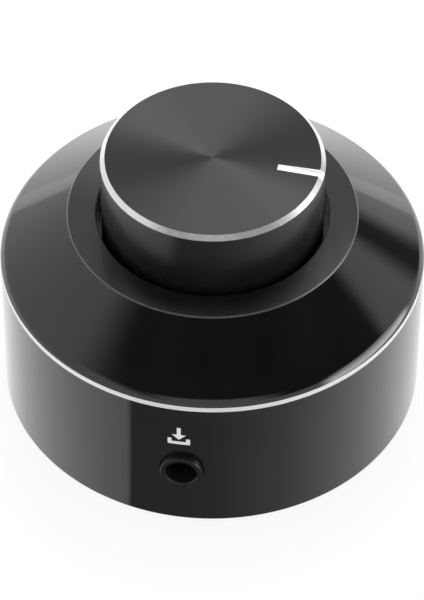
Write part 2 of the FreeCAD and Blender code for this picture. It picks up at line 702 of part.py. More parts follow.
def make_pot_case():
    """Cup round both gangs, with the stop rib inside and a window for the terminals."""
    body = turned("pot_case", [
        ("0", CASE_UNDER),
        (size("pot_radius"), CASE_UNDER),
        (size("pot_radius"), FLANGE_UNDER),
        (POT_BORE, FLANGE_UNDER),
        (POT_BORE, CASE_FLOOR),
        ("0", CASE_FLOOR),
    ])
    rib = new_sketch(body, "rib", "XY_Plane", CASE_FLOOR)
    in_wall = half(total(POT_BORE, "pot_radius"))
    draw_wedge(rib, RIB_RADIUS, in_wall, "90", RIB_HALF_ANGLE)
    pad(body, rib, total(FLANGE_UNDER, minus(CASE_FLOOR)))

    window = new_sketch(body, "window", "XY_Plane", FLANGE_UNDER)
    wide = total(half(size("track_tab_width")), "hole_clearance")
    draw_box(window, half(size("pot_radius")), total("pot_radius", "hole_clearance"), minus(wide), wide)
    pocket(body, window, total(FLANGE_UNDER, minus(REAR_TRACK_UNDER), "seat_clearance"))


def notch_for_rib(body, top, thickness):
    notch = new_sketch(body, "notch", "XY_Plane", top)
    inner = total(RIB_RADIUS, "-hole_clearance")
    draw_wedge(notch, inner, total("pot_radius", "pot_wall"), "90", RIB_SLOT_HALF_ANGLE)
    pocket(body, notch, thickness)


def make_pot_track(label, under, tab_reach):
    """Carbon track board with the tab that carries its terminals."""
    thickness = size("track_thickness")
    body = flat_ring(label, size("track_bore"), TRACK_RADIUS, under, thickness)
    tab = new_sketch(body, "tab", "XY_Plane", under)
    wide = half(size("track_tab_width"))
    draw_box(tab, half(total("track_bore", TRACK_RADIUS)), tab_reach, minus(wide), wide)
    pad(body, tab, thickness)
    notch_for_rib(body, total(under, thickness), thickness)


def make_pot_divider():
    thickness = size("divider_thickness")
    body = flat_ring("pot_divider", size("track_bore"), TRACK_RADIUS, DIVIDER_UNDER, thickness)
    notch_for_rib(body, DIVIDER_TOP, thickness)


def make_pot_terminals(label, row, top):
    """Three solder pins from a track board down through the circuit board."""
    body = new_body(label)
    body.AllowCompound = True
    sketch = new_sketch(body, "pins", "XY_Plane", PIN_END)
    thick = half(size("terminal_thickness"))
    wide = half(size("pin_width"))
    for step in (-1, 0, 1):
        middle = f"({step} * {size('terminal_pitch')})"
        draw_box(sketch, total(row, minus(thick)), total(row, thick),
                 total(middle, minus(wide)), total(middle, wide))
    pad(body, sketch, total(top, minus(PIN_END)))


def make_pot_nut():
    body = new_body("pot_nut")
    hexagon = new_sketch(body, "hexagon", "XY_Plane", WASHER_TOP)
    draw_hexagon(hexagon, "0", "0", size("nut_flats"))
    draw_circle(hexagon, "0", "0", total("bushing_radius", "thread_clearance"))
    pad(body, hexagon, size("nut_thickness"))


# ---- what turns -----------------------------------------------------------------------------

def cut_pointer(body):
    """Pointer line along +X, wider and deeper towards the rim."""
    ends = []
    for end, reach in (("inner", size("pointer_start")), ("rim", KNOB_RADIUS)):
        sketch = new_sketch(body, f"pointer_{end}", "YZ_Plane", reach)
        wide = half(size(f"pointer_{end}_width"))
        floor = total(KNOB_TOP, minus(size(f"pointer_{end}_depth")))
        draw_box(sketch, minus(wide), wide, floor, total(KNOB_TOP, "edge_break"))
        ends.append(sketch)
    doc.recompute()
    before = body.Shape.Volume
    line = body.newObject("PartDesign::SubtractiveLoft", "knob_pointer_line")
    line.Profile = ends[0]
    line.Sections = [ends[1]]
    line.Ruled = True
    doc.recompute()
    if not body.Shape.Volume < before:
        raise RuntimeError("the pointer line cuts nothing")


def make_knob():
    body = turned("knob", [
        (SKIRT_BORE, KNOB_UNDER),
        (total(KNOB_RADIUS, "-edge_break"), KNOB_UNDER),
        (KNOB_RADIUS, total(KNOB_UNDER, "edge_break")),
        (KNOB_RADIUS, total(KNOB_TOP, "-knob_bevel_drop")),
        (KNOB_FACE, KNOB_TOP),
        ("0", KNOB_TOP),
        ("0", HUB_BORE_TOP),
        (CARRIED_BORE, HUB_BORE_TOP),
        (CARRIED_BORE, HUB_UNDER),
        (size("hub_radius"), HUB_UNDER),
        (size("hub_radius"), HUB_BORE_TOP),
        (SKIRT_BORE, HUB_BORE_TOP),
    ])
    cut_pointer(body)

    thread = new_sketch(body, "thread", "YZ_Plane", minus(size("hub_radius")))
    draw_circle(thread, "0", SET_SCREW_AXIS, total("set_screw_radius", "thread_clearance"))
    pocket(body, thread, size("hub_radius"), along_normal=True)
    access = new_sketch(body, "access", "YZ_Plane", minus(KNOB_RADIUS))
    draw_circle(access, "0", SET_SCREW_AXIS, size("set_screw_access"))
    pocket(body, access, total("knob_skirt_wall", "knob_skirt_wall"), along_normal=True)
    return body


def make_knob_set_screw():
    """Screw along X from the hub's outside to the flat of the shaft."""
    body = new_body("knob_set_screw")
    thread = new_sketch(body, "thread", "YZ_Plane", minus(size("hub_radius")))
    draw_circle(thread, "0", SET_SCREW_AXIS, size("set_screw_radius"))
    pad(body, thread, total("hub_radius", minus(SHAFT_FLAT), "-press_clearance"))
    socket = new_sketch(body, "socket", "YZ_Plane", minus(size("hub_radius")))
    draw_hexagon(socket, "0", SET_SCREW_AXIS, f"(2 * {size('set_screw_socket')} * cos(30))")
    pocket(body, socket, size("set_screw_radius"), along_normal=True)
    return body


def make_pot_shaft():
    body = turned("pot_shaft", [
        ("0", SHAFT_END),
        (size("shaft_radius"), SHAFT_END),
        (size("shaft_radius"), total(CLIP_UNDER, "-press_clearance")),
        (size("clip_groove_radius"), total(CLIP_UNDER, "-press_clearance")),
        (size("clip_groove_radius"), total(CLIP_TOP, "press_clearance")),
        (size("shaft_radius"), total(CLIP_TOP, "press_clearance")),
        (size("shaft_radius"), SHAFT_TOP),
        ("0", SHAFT_TOP),
    ])
    flat = new_sketch(body, "flat", "XY_Plane", SHAFT_TOP)
    beyond = total("shaft_radius", "hole_clearance")
    draw_box(flat, minus(beyond), minus(SHAFT_FLAT), minus(beyond), beyond)
    pocket(body, flat, total(SHAFT_TOP, minus(HUB_UNDER)))
    return body


def make_pot_shaft_clip():
    inner = total("clip_groove_radius", "press_clearance")
    body = flat_ring("pot_shaft_clip", inner, size("clip_radius"), CLIP_UNDER, size("clip_thickness"))
    mouth = new_sketch(body, "mouth", "XY_Plane", CLIP_TOP)
    wide = half(size("clip_mouth"))
    draw_box(mouth, "0", total("clip_radius", "hole_clearance"), minus(wide), wide)
    pocket(body, mouth, size("clip_thickness"))
    return body


def make_pot_rotor(label, under, has_lug):
    body = flat_ring(label, CARRIED_BORE, ROTOR_RADIUS, under, size("rotor_thickness"))
    if has_lug:
        lug = new_sketch(body, "lug", "XY_Plane", under)
        root = half(total("shaft_radius", ROTOR_RADIUS))
        draw_wedge(lug, root, LUG_RADIUS, "180", LUG_HALF_ANGLE)
        pad(body, lug, size("rotor_thickness"))
    return body


def make_pot_wiper(label, under):
    """Ring on the rotor with two spring arms that carry the brushes."""
    body = flat_ring(label, size("track_bore"), total("track_bore", "wiper_width"), under,
                     size("wiper_thickness"))
    arms = new_sketch(body, "arms", "XY_Plane", under)
    wide = half(size("wiper_width"))
    for side in (-1, 1):
        root = f"({side} * {total('track_bore', wide)})"
        end = f"({side} * {ROTOR_RADIUS})"
        left, right = (root, end) if side > 0 else (end, root)
        draw_box(arms, left, right, minus(wide), wide)
    pad(body, arms, size("wiper_thickness"))
    return body


# ---- the assembly ---------------------------------------------------------------------------

make_housing()
make_base_plate()
make_base_screws()
make_circuit_board()
for number in range(FIXING_COUNT):
    make_foot(f"foot_{number + 1}", number * FIXING_STEP)
    make_lower_spacer(f"lower_spacer_{number + 1}", SCREW_START + number * FIXING_STEP)
    make_upper_standoff(f"upper_standoff_{number + 1}", SCREW_START + number * FIXING_STEP)

make_jack("in", 0)
make_jack("out", 180)

make_pot_mounting_plate()
make_pot_case()
make_pot_track("pot_front_track", FRONT_TRACK_UNDER, FRONT_TAB)
make_pot_track("pot_rear_track", REAR_TRACK_UNDER, REAR_TAB)
make_pot_divider()
make_pot_terminals("pot_front_terminals", FRONT_TERMINALS, FRONT_TRACK_UNDER)
make_pot_terminals("pot_rear_terminals", REAR_TERMINALS, REAR_TRACK_UNDER)
flat_ring("pot_washer", BUSHING_HOLE, size("washer_radius"), WELL_FLOOR, size("washer_thickness"))
make_pot_nut()

turning = [
    make_knob(),
    make_knob_set_screw(),
    make_pot_shaft(),
    make_pot_shaft_clip(),
    make_pot_rotor("pot_front_rotor", FRONT_ROTOR_UNDER, True),
    make_pot_wiper("pot_front_wiper", FRONT_ROTOR_TOP),
    make_pot_rotor("pot_rear_rotor", REAR_ROTOR_UNDER, False),
    make_pot_wiper("pot_rear_wiper", REAR_ROTOR_TOP),
]
for piece in turning:
    turn_body(piece, value(size("pointer_angle")))

doc.recompute()
for item in doc.Objects:
    if "Invalid" in item.State or "Error" in item.State:
        raise RuntimeError(f"{item.Label} failed: {item.State}")
bodies = [item for item in doc.Objects if item.TypeId == "PartDesign::Body"]
for body in bodies:
    if body.Shape.isNull() or not body.Shape.isValid():
        raise RuntimeError(f"{body.Label} has no valid shape")

os.makedirs("parts", exist_ok=True)
for body in bodies:
    body.Shape.exportStep(f"parts/{body.Label}.step")
print(f"{len(bodies)} sub-parts written")
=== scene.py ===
# %% [markdown]
# # A turned-aluminium volume control
#
# This lesson dresses a finished construction model. The model holds the true sizes of a desktop
# volume control: a round puck with a large knob, a jack in each side and a potentiometer inside.
# Its hidden pieces are kept and given finishes, and each piece that meets the eye is modelled
# again with care. Every place is read from the construction model, which is never moved.

# %% Load the construction model
import json
import math

import bpy
from mathutils import Matrix, Vector


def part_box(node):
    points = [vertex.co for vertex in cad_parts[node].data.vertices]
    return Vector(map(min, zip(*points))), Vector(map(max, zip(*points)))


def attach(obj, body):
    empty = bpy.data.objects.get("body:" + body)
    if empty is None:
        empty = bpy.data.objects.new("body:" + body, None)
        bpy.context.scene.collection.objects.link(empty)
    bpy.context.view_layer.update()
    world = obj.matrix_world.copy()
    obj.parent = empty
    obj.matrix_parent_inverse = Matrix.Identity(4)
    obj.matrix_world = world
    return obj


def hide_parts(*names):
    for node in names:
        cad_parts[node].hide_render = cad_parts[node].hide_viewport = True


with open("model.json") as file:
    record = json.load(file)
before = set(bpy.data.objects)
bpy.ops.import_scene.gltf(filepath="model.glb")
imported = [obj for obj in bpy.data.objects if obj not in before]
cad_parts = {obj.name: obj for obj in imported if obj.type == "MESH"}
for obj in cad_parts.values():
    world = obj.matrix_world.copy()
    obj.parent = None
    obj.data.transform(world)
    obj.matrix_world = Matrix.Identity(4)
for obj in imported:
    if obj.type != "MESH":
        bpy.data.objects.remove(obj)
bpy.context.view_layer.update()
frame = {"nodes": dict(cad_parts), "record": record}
nodes = frame["nodes"]
MM = 0.001

# %% [markdown]
# ## Sizes
#
# The outer sizes come from the boxes of the construction model's nodes. What a box can't tell,
# such as the slope of the shoulder, is a named value in millimetres, as a turner would read it
# off a drawing. Two of the values are only aids: PAST is how far a cutter reaches past the
# surface, and HAIR is a distance too small to matter.

# %% Sizes read from the construction model, in millimetres
def low(node):
    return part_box(node)[0] / MM


def high(node):
    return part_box(node)[1] / MM


def radius_of(node):
    """Radius of a piece that is round about the knob's axis."""
    return max(*high(node).xy, *(-low(node)).xy)


BODY_RADIUS = radius_of("housing")
SIDE_FOOT = low("housing").z
RING_TOP = high("housing").z
KNOB_RADIUS = radius_of("knob")
KNOB_UNDER = low("knob").z
KNOB_TOP = high("knob").z
PLATE_UNDER = low("base_plate").z
PLATE_TOP = high("base_plate").z
WELL_FLOOR = low("pot_washer").z
BOARD_UNDER = low("circuit_board").z
BOARD_TOP = high("circuit_board").z
JACK_TOP = high("in_jack_body").z
JACK_AXIS = (BOARD_TOP + JACK_TOP) / 2
NOSE_FACE = high("out_jack_body").y
JACK_BACK = low("out_jack_body").y
JACK_HALF_WIDTH = high("in_jack_body").x
print("puck", round(2 * BODY_RADIUS, 2), "across, knob", round(2 * KNOB_RADIUS, 2), "across,",
      "top at", round(KNOB_TOP, 2))

# %% Sizes from the drawing, in millimetres and degrees
BAND_FOOT = 19.5
BAND_TOP = 20.14
BAND_LEAN = 0.04
SHOULDER_RADIUS = 2.4
SHOULDER_SLOPE = 66.0
RING_RADIUS = 17.05
WELL_RADIUS = 13.6
DECK_THICKNESS = 2.0
CAVITY_RADIUS = 22.5
REBATE_RADIUS = 23.2
EDGE_BREAK = 0.15
BUSHING_HOLE = 3.6
DECK_UNDER = WELL_FLOOR - DECK_THICKNESS
FIXING_RADIUS = 17.5
STUD_HOLE = 1.27
STUD_DEPTH = 4.6
LOCATOR_HOLE = 0.7
LOCATOR_DEPTH = 1.2
LOCATOR_PLACE = 7.0
NOSE_RADIUS = 2.5
NOSE_ROOT = 0.5
NOSE_LIP = 0.22
NOSE_HOLE = 2.62
SOCKET_RADIUS = 1.8
SOCKET_DEPTH = 13.9
SOCKET_FLARE = 0.18
SPRING_GAP = 0.05
JACK_FACE = 23.4
JACK_BEVEL = 0.2
JACK_SEAT_GAP = 0.05
JACK_ROOM_GAP = 0.3
JACK_ROOM_BACK = 12.0
DIMPLE_RADIUS = 0.2
DIMPLE_DEPTH = 0.06
BEVEL_WIDTH = 0.53
BEVEL_DROP = 0.5
SKIRT_BORE = 11.15
HUB_RADIUS = 6.0
HUB_UNDER = 25.8
HUB_BORE_TOP = 33.04
SHAFT_BORE = 3.02
SET_SCREW_HOLE = 1.52
DRIVER_HOLE = 1.8
SET_SCREW_AXIS = (HUB_UNDER + HUB_BORE_TOP) / 2
POINTER_START = 7.6
POINTER_WIDTH = 0.86
POINTER_WIDENING = 1.33
POINTER_DEPTH = 0.08
POINTER_DROP = 0.47
POINTER_TURN = -4.0
SEGMENTS = 256
PAST = 1.0
HAIR = 0.01
print("turned with", SEGMENTS, "steps; cutters reach", PAST, "past what they cut")

# %% [markdown]
# ## Working habits
#
# Blender's operators act on all that is selected, and loading leaves every node selected. So a
# helper first clears the selection and picks one piece. A turned piece starts as one point,
# which is extruded along half of its section and then spun round the axis, just as a lathe tool
# follows a profile. Spinning leaves a seam and can turn the surface inside out, so the doubles
# are merged and the normals are recalculated. A piece is turned or moved inside its mesh, so
# that its object keeps its origin on the knob's axis.

# %% Helpers for selecting, turning and cutting
def only(piece):
    """Clear the selection and pick one piece."""
    bpy.ops.object.select_all(action="DESELECT")
    piece.select_set(True)
    bpy.context.view_layer.objects.active = piece


def pick(piece, wanted):
    """Select the active piece's corners whose place in millimetres passes a test, and stay editing."""
    bpy.ops.object.mode_set(mode="EDIT")
    bpy.ops.mesh.select_all(action="DESELECT")
    bpy.ops.object.mode_set(mode="OBJECT")
    for corner in piece.data.vertices:
        corner.select = wanted(corner.co / MM)
    bpy.ops.object.mode_set(mode="EDIT")


def swing(piece, angle, axis="Z", step=(0, 0, 0)):
    """Turn a mesh about an axis through the origin, then move it by a step in millimetres."""
    only(piece)
    bpy.ops.object.mode_set(mode="EDIT")
    bpy.ops.mesh.select_all(action="SELECT")
    bpy.ops.transform.rotate(value=-math.radians(angle), orient_axis=axis, center_override=(0, 0, 0))
    bpy.ops.transform.translate(value=Vector(step) * MM)
    bpy.ops.object.mode_set(mode="OBJECT")


def turn(name, outline, steps=SEGMENTS):
    """Turn a closed outline of (radius, height) points round the knob's axis."""
    bpy.ops.object.select_all(action="DESELECT")
    bpy.ops.mesh.primitive_plane_add(size=MM)
    piece = bpy.context.object
    piece.name = piece.data.name = name
    bpy.ops.object.mode_set(mode="EDIT")
    bpy.ops.mesh.merge(type="CENTER")
    start_radius, start_height = outline[0]
    bpy.ops.transform.translate(value=Vector((start_radius, 0, start_height)) * MM)
    for (radius, height), (next_radius, next_height) in zip(outline, outline[1:] + outline[:1]):
        step = Vector((next_radius - radius, 0, next_height - height)) * MM
        bpy.ops.mesh.extrude_vertices_move(TRANSFORM_OT_translate={"value": step})
    bpy.ops.mesh.select_all(action="SELECT")
    bpy.ops.mesh.spin(steps=steps, angle=math.tau, center=(0, 0, 0), axis=(0, 0, 1))
    bpy.ops.mesh.select_all(action="SELECT")
    bpy.ops.mesh.remove_doubles(threshold=0.002 * MM)
    bpy.ops.mesh.normals_make_consistent(inside=False)
    bpy.ops.object.mode_set(mode="OBJECT")
    return piece


def arc(centre_radius, centre_height, radius, start, end, steps):
    """Points along an arc of an outline; angles are degrees above the level."""
    angles = [math.radians(start + (end - start) * step / steps) for step in range(steps + 1)]
    return [(centre_radius + radius * math.cos(a), centre_height + radius * math.sin(a)) for a in angles]


def rod(radius, start, end, steps=96):
    """A round cutter between two points in millimetres."""
    along = (Vector(end) - Vector(start)) * MM
    bpy.ops.object.select_all(action="DESELECT")
    bpy.ops.mesh.primitive_cylinder_add(
        vertices=steps, radius=radius * MM, depth=along.length,
        location=Vector(start) * MM + along / 2, rotation=along.to_track_quat("Z", "Y").to_euler())
    return bpy.context.object


def block(corner, opposite):
    """A box between two corners in millimetres, with its place in its mesh."""
    corner, opposite = Vector(corner) * MM, Vector(opposite) * MM
    bpy.ops.object.select_all(action="DESELECT")
    bpy.ops.mesh.primitive_cube_add(size=1)
    piece = bpy.context.object
    bpy.ops.object.mode_set(mode="EDIT")
    bpy.ops.transform.resize(value=opposite - corner)
    bpy.ops.transform.translate(value=(corner + opposite) / 2)
    bpy.ops.object.mode_set(mode="OBJECT")
    return piece


def combine(piece, other, operation="DIFFERENCE"):
    """Cut the other shape away, or unite it, and delete it."""
    only(piece)
    bpy.ops.object.modifier_add(type="BOOLEAN")
    boolean = piece.modifiers[-1]
    boolean.operation = operation
    boolean.solver = "EXACT"
    boolean.object = other
    bpy.ops.object.modifier_apply(modifier=boolean.name)
    bpy.data.objects.remove(other)


def smooth(piece, angle=4.0):
    """Round shading with crisp edges, led by each piece's larger faces."""
    only(piece)
    bpy.ops.object.shade_smooth_by_angle(angle=math.radians(angle))
    bpy.ops.object.modifier_add(type="WEIGHTED_NORMAL")
    weighted = piece.modifiers[-1]
    weighted.keep_sharp = True
    bpy.ops.object.modifier_apply(modifier=weighted.name)


def paint(piece, *materials):
    """Give a piece its materials; the first covers it all."""
    piece.data.materials.clear()
    for material in materials:
        piece.data.materials.append(material)
    for face in piece.data.polygons:
        face.material_index = 0


def report(piece):
    """Print a piece's faces and its size in millimetres."""
    corners = [piece.matrix_world @ Vector(corner) for corner in piece.bound_box]
    span = [round((max(c[i] for c in corners) - min(c[i] for c in corners)) / MM, 2) for i in range(3)]
    print(piece.name, "faces", len(piece.data.polygons), "size", span)


# %% [markdown]
# ## Finishes
#
# Every finish is made of nodes, so it needs no picture. A finish starts as a Principled shader
# whose plain numbers are set on its own sockets. Detail is then added with noise and waves on
# Object coordinates, which stay on the piece when it turns: a faint mottle in the gloss, the
# fine rings that a turning tool leaves, or the grain of a moulding.

# %% Node helpers
def new_finish(name, color, roughness, **sockets):
    """A Principled material; sockets are given by name, with _ for a space."""
    material = bpy.data.materials.new(name)
    material.use_nodes = True
    shader = material.node_tree.nodes["Principled BSDF"]
    shader.inputs["Base Color"].default_value = (*color, 1)
    shader.inputs["Roughness"].default_value = roughness
    for socket, number in sockets.items():
        shader.inputs[socket.replace("_", " ")].default_value = number
    return material


def add_node(material, kind, **values):
    """One node, with its input sockets set by name and its settings by attribute."""
    node = material.node_tree.nodes.new("ShaderNode" + kind)
    for name, value in values.items():
        if hasattr(node, name):
            setattr(node, name, value)
        else:
            node.inputs[name.replace("_", " ")].default_value = value
    return node


def wire(material, output, socket):
    material.node_tree.links.new(output, socket)


def object_place(material):
    return add_node(material, "TexCoord").outputs["Object"]


def mottle(material, socket, grain, lowest, highest):
    """Noise of this grain in millimetres, between two values, on one shader socket."""
    noise = add_node(material, "TexNoise", Scale=1 / (grain * MM), Detail=4.0)
    span = add_node(material, "MapRange", From_Min=0.3, From_Max=0.7, To_Min=lowest, To_Max=highest)
    wire(material, object_place(material), noise.inputs["Vector"])
    wire(material, noise.outputs["Fac"], span.inputs["Value"])
    wire(material, span.outputs["Result"], material.node_tree.nodes["Principled BSDF"].inputs[socket])


def shade_between(material, grain, dark, light):
    """Noise between two close colours, as no real surface is one flat colour."""
    noise = add_node(material, "TexNoise", Scale=1 / (grain * MM), Detail=5.0)
    ramp = add_node(material, "ValToRGB")
    ramp.color_ramp.elements[0].position = 0.3
    ramp.color_ramp.elements[0].color = (*dark, 1)
    ramp.color_ramp.elements[1].position = 0.7
    ramp.color_ramp.elements[1].color = (*light, 1)
    wire(material, object_place(material), noise.inputs["Vector"])
    wire(material, noise.outputs["Fac"], ramp.inputs["Fac"])
    wire(material, ramp.outputs["Color"], material.node_tree.nodes["Principled BSDF"].inputs["Base Color"])


def emboss(material, height, depth):
    """Bump of this depth in millimetres from a node's output, over any bump already there."""
    shader = material.node_tree.nodes["Principled BSDF"]
    bump = add_node(material, "Bump", Strength=1.0, Distance=depth * MM)
    wire(material, height, bump.inputs["Height"])
    if shader.inputs["Normal"].is_linked:
        wire(material, shader.inputs["Normal"].links[0].from_socket, bump.inputs["Normal"])
    wire(material, bump.outputs["Normal"], shader.inputs["Normal"])


def turning_rings(material, spacing, depth):
    """Fine rings round the upright axis, a little uneven, as a lathe leaves them."""
    wave = add_node(material, "TexWave", wave_type="RINGS", rings_direction="Z",
                    Scale=math.tau / (20 * spacing * MM), Distortion=1.5, Detail=2.0, Detail_Scale=1.5)
    wire(material, object_place(material), wave.inputs["Vector"])
    emboss(material, wave.outputs["Fac"], depth)


def grain(material, size, depth):
    """Even grain of a coating or a moulding."""
    noise = add_node(material, "TexNoise", Scale=1 / (size * MM), Detail=3.0)
    wire(material, object_place(material), noise.inputs["Vector"])
    emboss(material, noise.outputs["Fac"], depth)


# %% [markdown]
# ### The black puck
#
# The puck is turned aluminium, anodised deep black over a fine cut, so it mirrors the room
# softly at steep angles and brightly at shallow ones. Two clear layers do that: the dyed film
# itself and its sealed skin, which is the shader's coat.

# %% Black anodised puck
gloss_black = new_finish("gloss_black_anodised", (0.006, 0.006, 0.006), 0.06, IOR=1.5,
                         Coat_Weight=1.0, Coat_Roughness=0.05, Coat_IOR=1.5)
shade_between(gloss_black, 6.0, (0.0025, 0.0025, 0.0025), (0.0045, 0.0045, 0.0045))
mottle(gloss_black, "Roughness", 1.5, 0.05, 0.08)
print("made", gloss_black.name)

# %% [markdown]
# ### The spun faces and the knob's side
#
# The knob's face and the flat ring are cut with a pointed tool while they spin. The grooves
# throw light out sideways, across their own direction, which gives the fan of bright and dark
# wedges that meet at the centre. An anisotropic gloss does this: it needs the direction round
# the axis, which the Tangent node gives. The coarsest of the grooves are a bump as well. The
# ring has a smoother cut under a thicker skin than the face. The knob's side is blasted, so its
# gloss is the same all round.

# %% Black spun faces and satin side
def spun_finish(name, roughness, gloss, skin):
    """Black anodised face with the fine rings of a pointed tool, under a clear skin."""
    material = new_finish(name, (0.005, 0.005, 0.005), roughness, IOR=1.5,
                          Specular_IOR_Level=gloss, Anisotropic=1.0, Anisotropic_Rotation=0.25,
                          Specular_Tint=(1.0, 0.98, 0.95, 1.0), Coat_Weight=skin, Coat_Roughness=0.15,
                          Coat_IOR=1.5)
    shade_between(material, 4.0, (0.004, 0.004, 0.004), (0.006, 0.006, 0.006))
    around = add_node(material, "Tangent", direction_type="RADIAL", axis="Z")
    shader = material.node_tree.nodes["Principled BSDF"]
    wire(material, around.outputs["Tangent"], shader.inputs["Tangent"])
    turning_rings(material, 0.11, 0.00015)
    return material


spun_black = spun_finish("spun_black_anodised", 0.38, 0.54, 0.15)
spun_ring = spun_finish("spun_black_ring", 0.2, 0.44, 0.7)
satin_black = new_finish("satin_black_anodised", (0.006, 0.006, 0.006), 0.26, IOR=1.5,
                         Specular_IOR_Level=1.0)
shade_between(satin_black, 4.0, (0.005, 0.005, 0.005), (0.007, 0.007, 0.007))
mottle(satin_black, "Roughness", 1.5, 0.24, 0.28)
print("made", [material.name for material in (spun_black, spun_ring, satin_black)])

# %% [markdown]
# ### Bright cuts
#
# After anodising, a diamond tool cuts the bevel, the pointer and the band down to bare metal.
# The bevel's cut is the finest, so it mirrors the room. The pointer and the band have coarser
# feed marks: they scatter more light and stay pale from every side. The broken edges of the flat
# ring get a lighter, rougher black: their thin bright line is partly a real blurred reflection and
# partly a painted highlight in that lighter colour.

# %% Bare metal of the bright cuts, and the painted highlight of the ring's edges
bright_cut = new_finish("bright_cut_metal", (0.98, 0.98, 0.99), 0.24, Metallic=0.8)
shade_between(bright_cut, 0.8, (0.97, 0.97, 0.98), (0.99, 0.99, 1.0))
mottle(bright_cut, "Roughness", 0.5, 0.2, 0.28)
pointer_cut = new_finish("pointer_cut_metal", (0.95, 0.95, 0.96), 0.4, Metallic=0.25)
shade_between(pointer_cut, 0.8, (0.93, 0.93, 0.94), (0.97, 0.97, 0.98))
mottle(pointer_cut, "Roughness", 0.5, 0.35, 0.45)
bright_band = new_finish("bright_band_metal", (0.84, 0.84, 0.85), 0.45, Metallic=0.4)
shade_between(bright_band, 0.8, (0.82, 0.82, 0.83), (0.87, 0.87, 0.88))
mottle(bright_band, "Roughness", 0.5, 0.45, 0.55)
# Lighter black for the ring's edges: a painted highlight, over a rougher real reflection.
edge_glint = new_finish("black_edge_glint", (0.03, 0.03, 0.03), 0.4, IOR=1.5, Specular_IOR_Level=1.0,
                       Coat_Weight=1.0, Coat_Roughness=0.35)
shade_between(edge_glint, 0.8, (0.02, 0.02, 0.02), (0.05, 0.05, 0.05))
print("made", [material.name for material in (bright_cut, pointer_cut, bright_band, edge_glint)])

# %% [markdown]
# ### The other finishes
#
# The rest are everyday finishes of such a product: powder coat on the base plate, rubber feet,
# black oxide on the screws, moulded jacks and the ink of the signs. Inside are the board, brass,
# tin, nylon and zinc that nobody sees until it is opened.

# %% Everyday finishes
def everyday(name, dark, light, roughness, grain_size, grain_depth, **sockets):
    """A finish with two close colours, a mottled gloss and a grain in millimetres."""
    material = new_finish(name, light, roughness, **sockets)
    shade_between(material, grain_size * 3, dark, light)
    mottle(material, "Roughness", grain_size * 2, roughness * 0.85, min(1.0, roughness * 1.15))
    grain(material, grain_size, grain_depth)
    return material


powder_coat = everyday("powder_coat", (0.024, 0.024, 0.026), (0.036, 0.036, 0.038), 0.55, 0.12, 0.03)
black_oxide = everyday("black_oxide", (0.03, 0.03, 0.033), (0.055, 0.055, 0.06), 0.38, 0.08, 0.002,
                       Metallic=0.9)
rubber = everyday("foot_rubber", (0.022, 0.022, 0.022), (0.034, 0.034, 0.034), 0.75, 0.1, 0.012)
jack_moulding = everyday("jack_moulding", (0.006, 0.006, 0.006), (0.012, 0.012, 0.012), 0.3, 0.15, 0.001)
pot_moulding = everyday("pot_moulding", (0.022, 0.022, 0.024), (0.034, 0.034, 0.036), 0.5, 0.15, 0.003)
solder_mask = everyday("solder_mask", (0.012, 0.09, 0.04), (0.02, 0.13, 0.055), 0.32, 0.6, 0.004)
phenolic = everyday("phenolic_board", (0.24, 0.11, 0.045), (0.34, 0.17, 0.07), 0.55, 0.3, 0.004)
nylon = everyday("spacer_nylon", (0.7, 0.68, 0.62), (0.78, 0.77, 0.72), 0.45, 0.3, 0.002)
brass = everyday("plain_brass", (0.72, 0.52, 0.22), (0.82, 0.62, 0.3), 0.3, 0.2, 0.001, Metallic=1.0)
tinned = everyday("tinned_contact", (0.74, 0.7, 0.6), (0.84, 0.8, 0.7), 0.28, 0.2, 0.001, Metallic=1.0)
zinc = everyday("zinc_plate", (0.66, 0.66, 0.65), (0.78, 0.78, 0.77), 0.32, 0.2, 0.001, Metallic=1.0)
legend_ink = everyday("legend_ink", (0.62, 0.62, 0.61), (0.7, 0.7, 0.69), 0.6, 0.08, 0.002)
print("finishes in all:", len(bpy.data.materials))

# %% [markdown]
# ## Finishes for the pieces that are kept
#
# The hidden pieces keep their construction shape. Each takes the finish that belongs to the
# material slot named in the record.

# %% Dress the construction nodes
FINISH_OF_SLOT = {
    "housing_anodised": gloss_black, "knob_anodised": spun_black, "base_paint": powder_coat,
    "black_steel": black_oxide, "board_laminate": solder_mask, "foot_rubber": rubber,
    "spacer_nylon": nylon, "brass": brass, "jack_plastic": jack_moulding,
    "contact_metal": tinned, "track_laminate": phenolic, "pot_plastic": pot_moulding,
    "plated_steel": zinc,
}
for subpart in frame["record"]["subparts"]:
    paint(nodes[subpart["node"]], FINISH_OF_SLOT[subpart["material_slot"]])

# %% [markdown]
# ## The housing
#
# One bar of aluminium is turned to this shape: a straight side, a narrow bright band, a round
# shoulder, a cone and a flat ring with a deep well for the knob. It is hollow from below. One
# closed outline holds both its outside and its inside, so the wall has its real thickness.

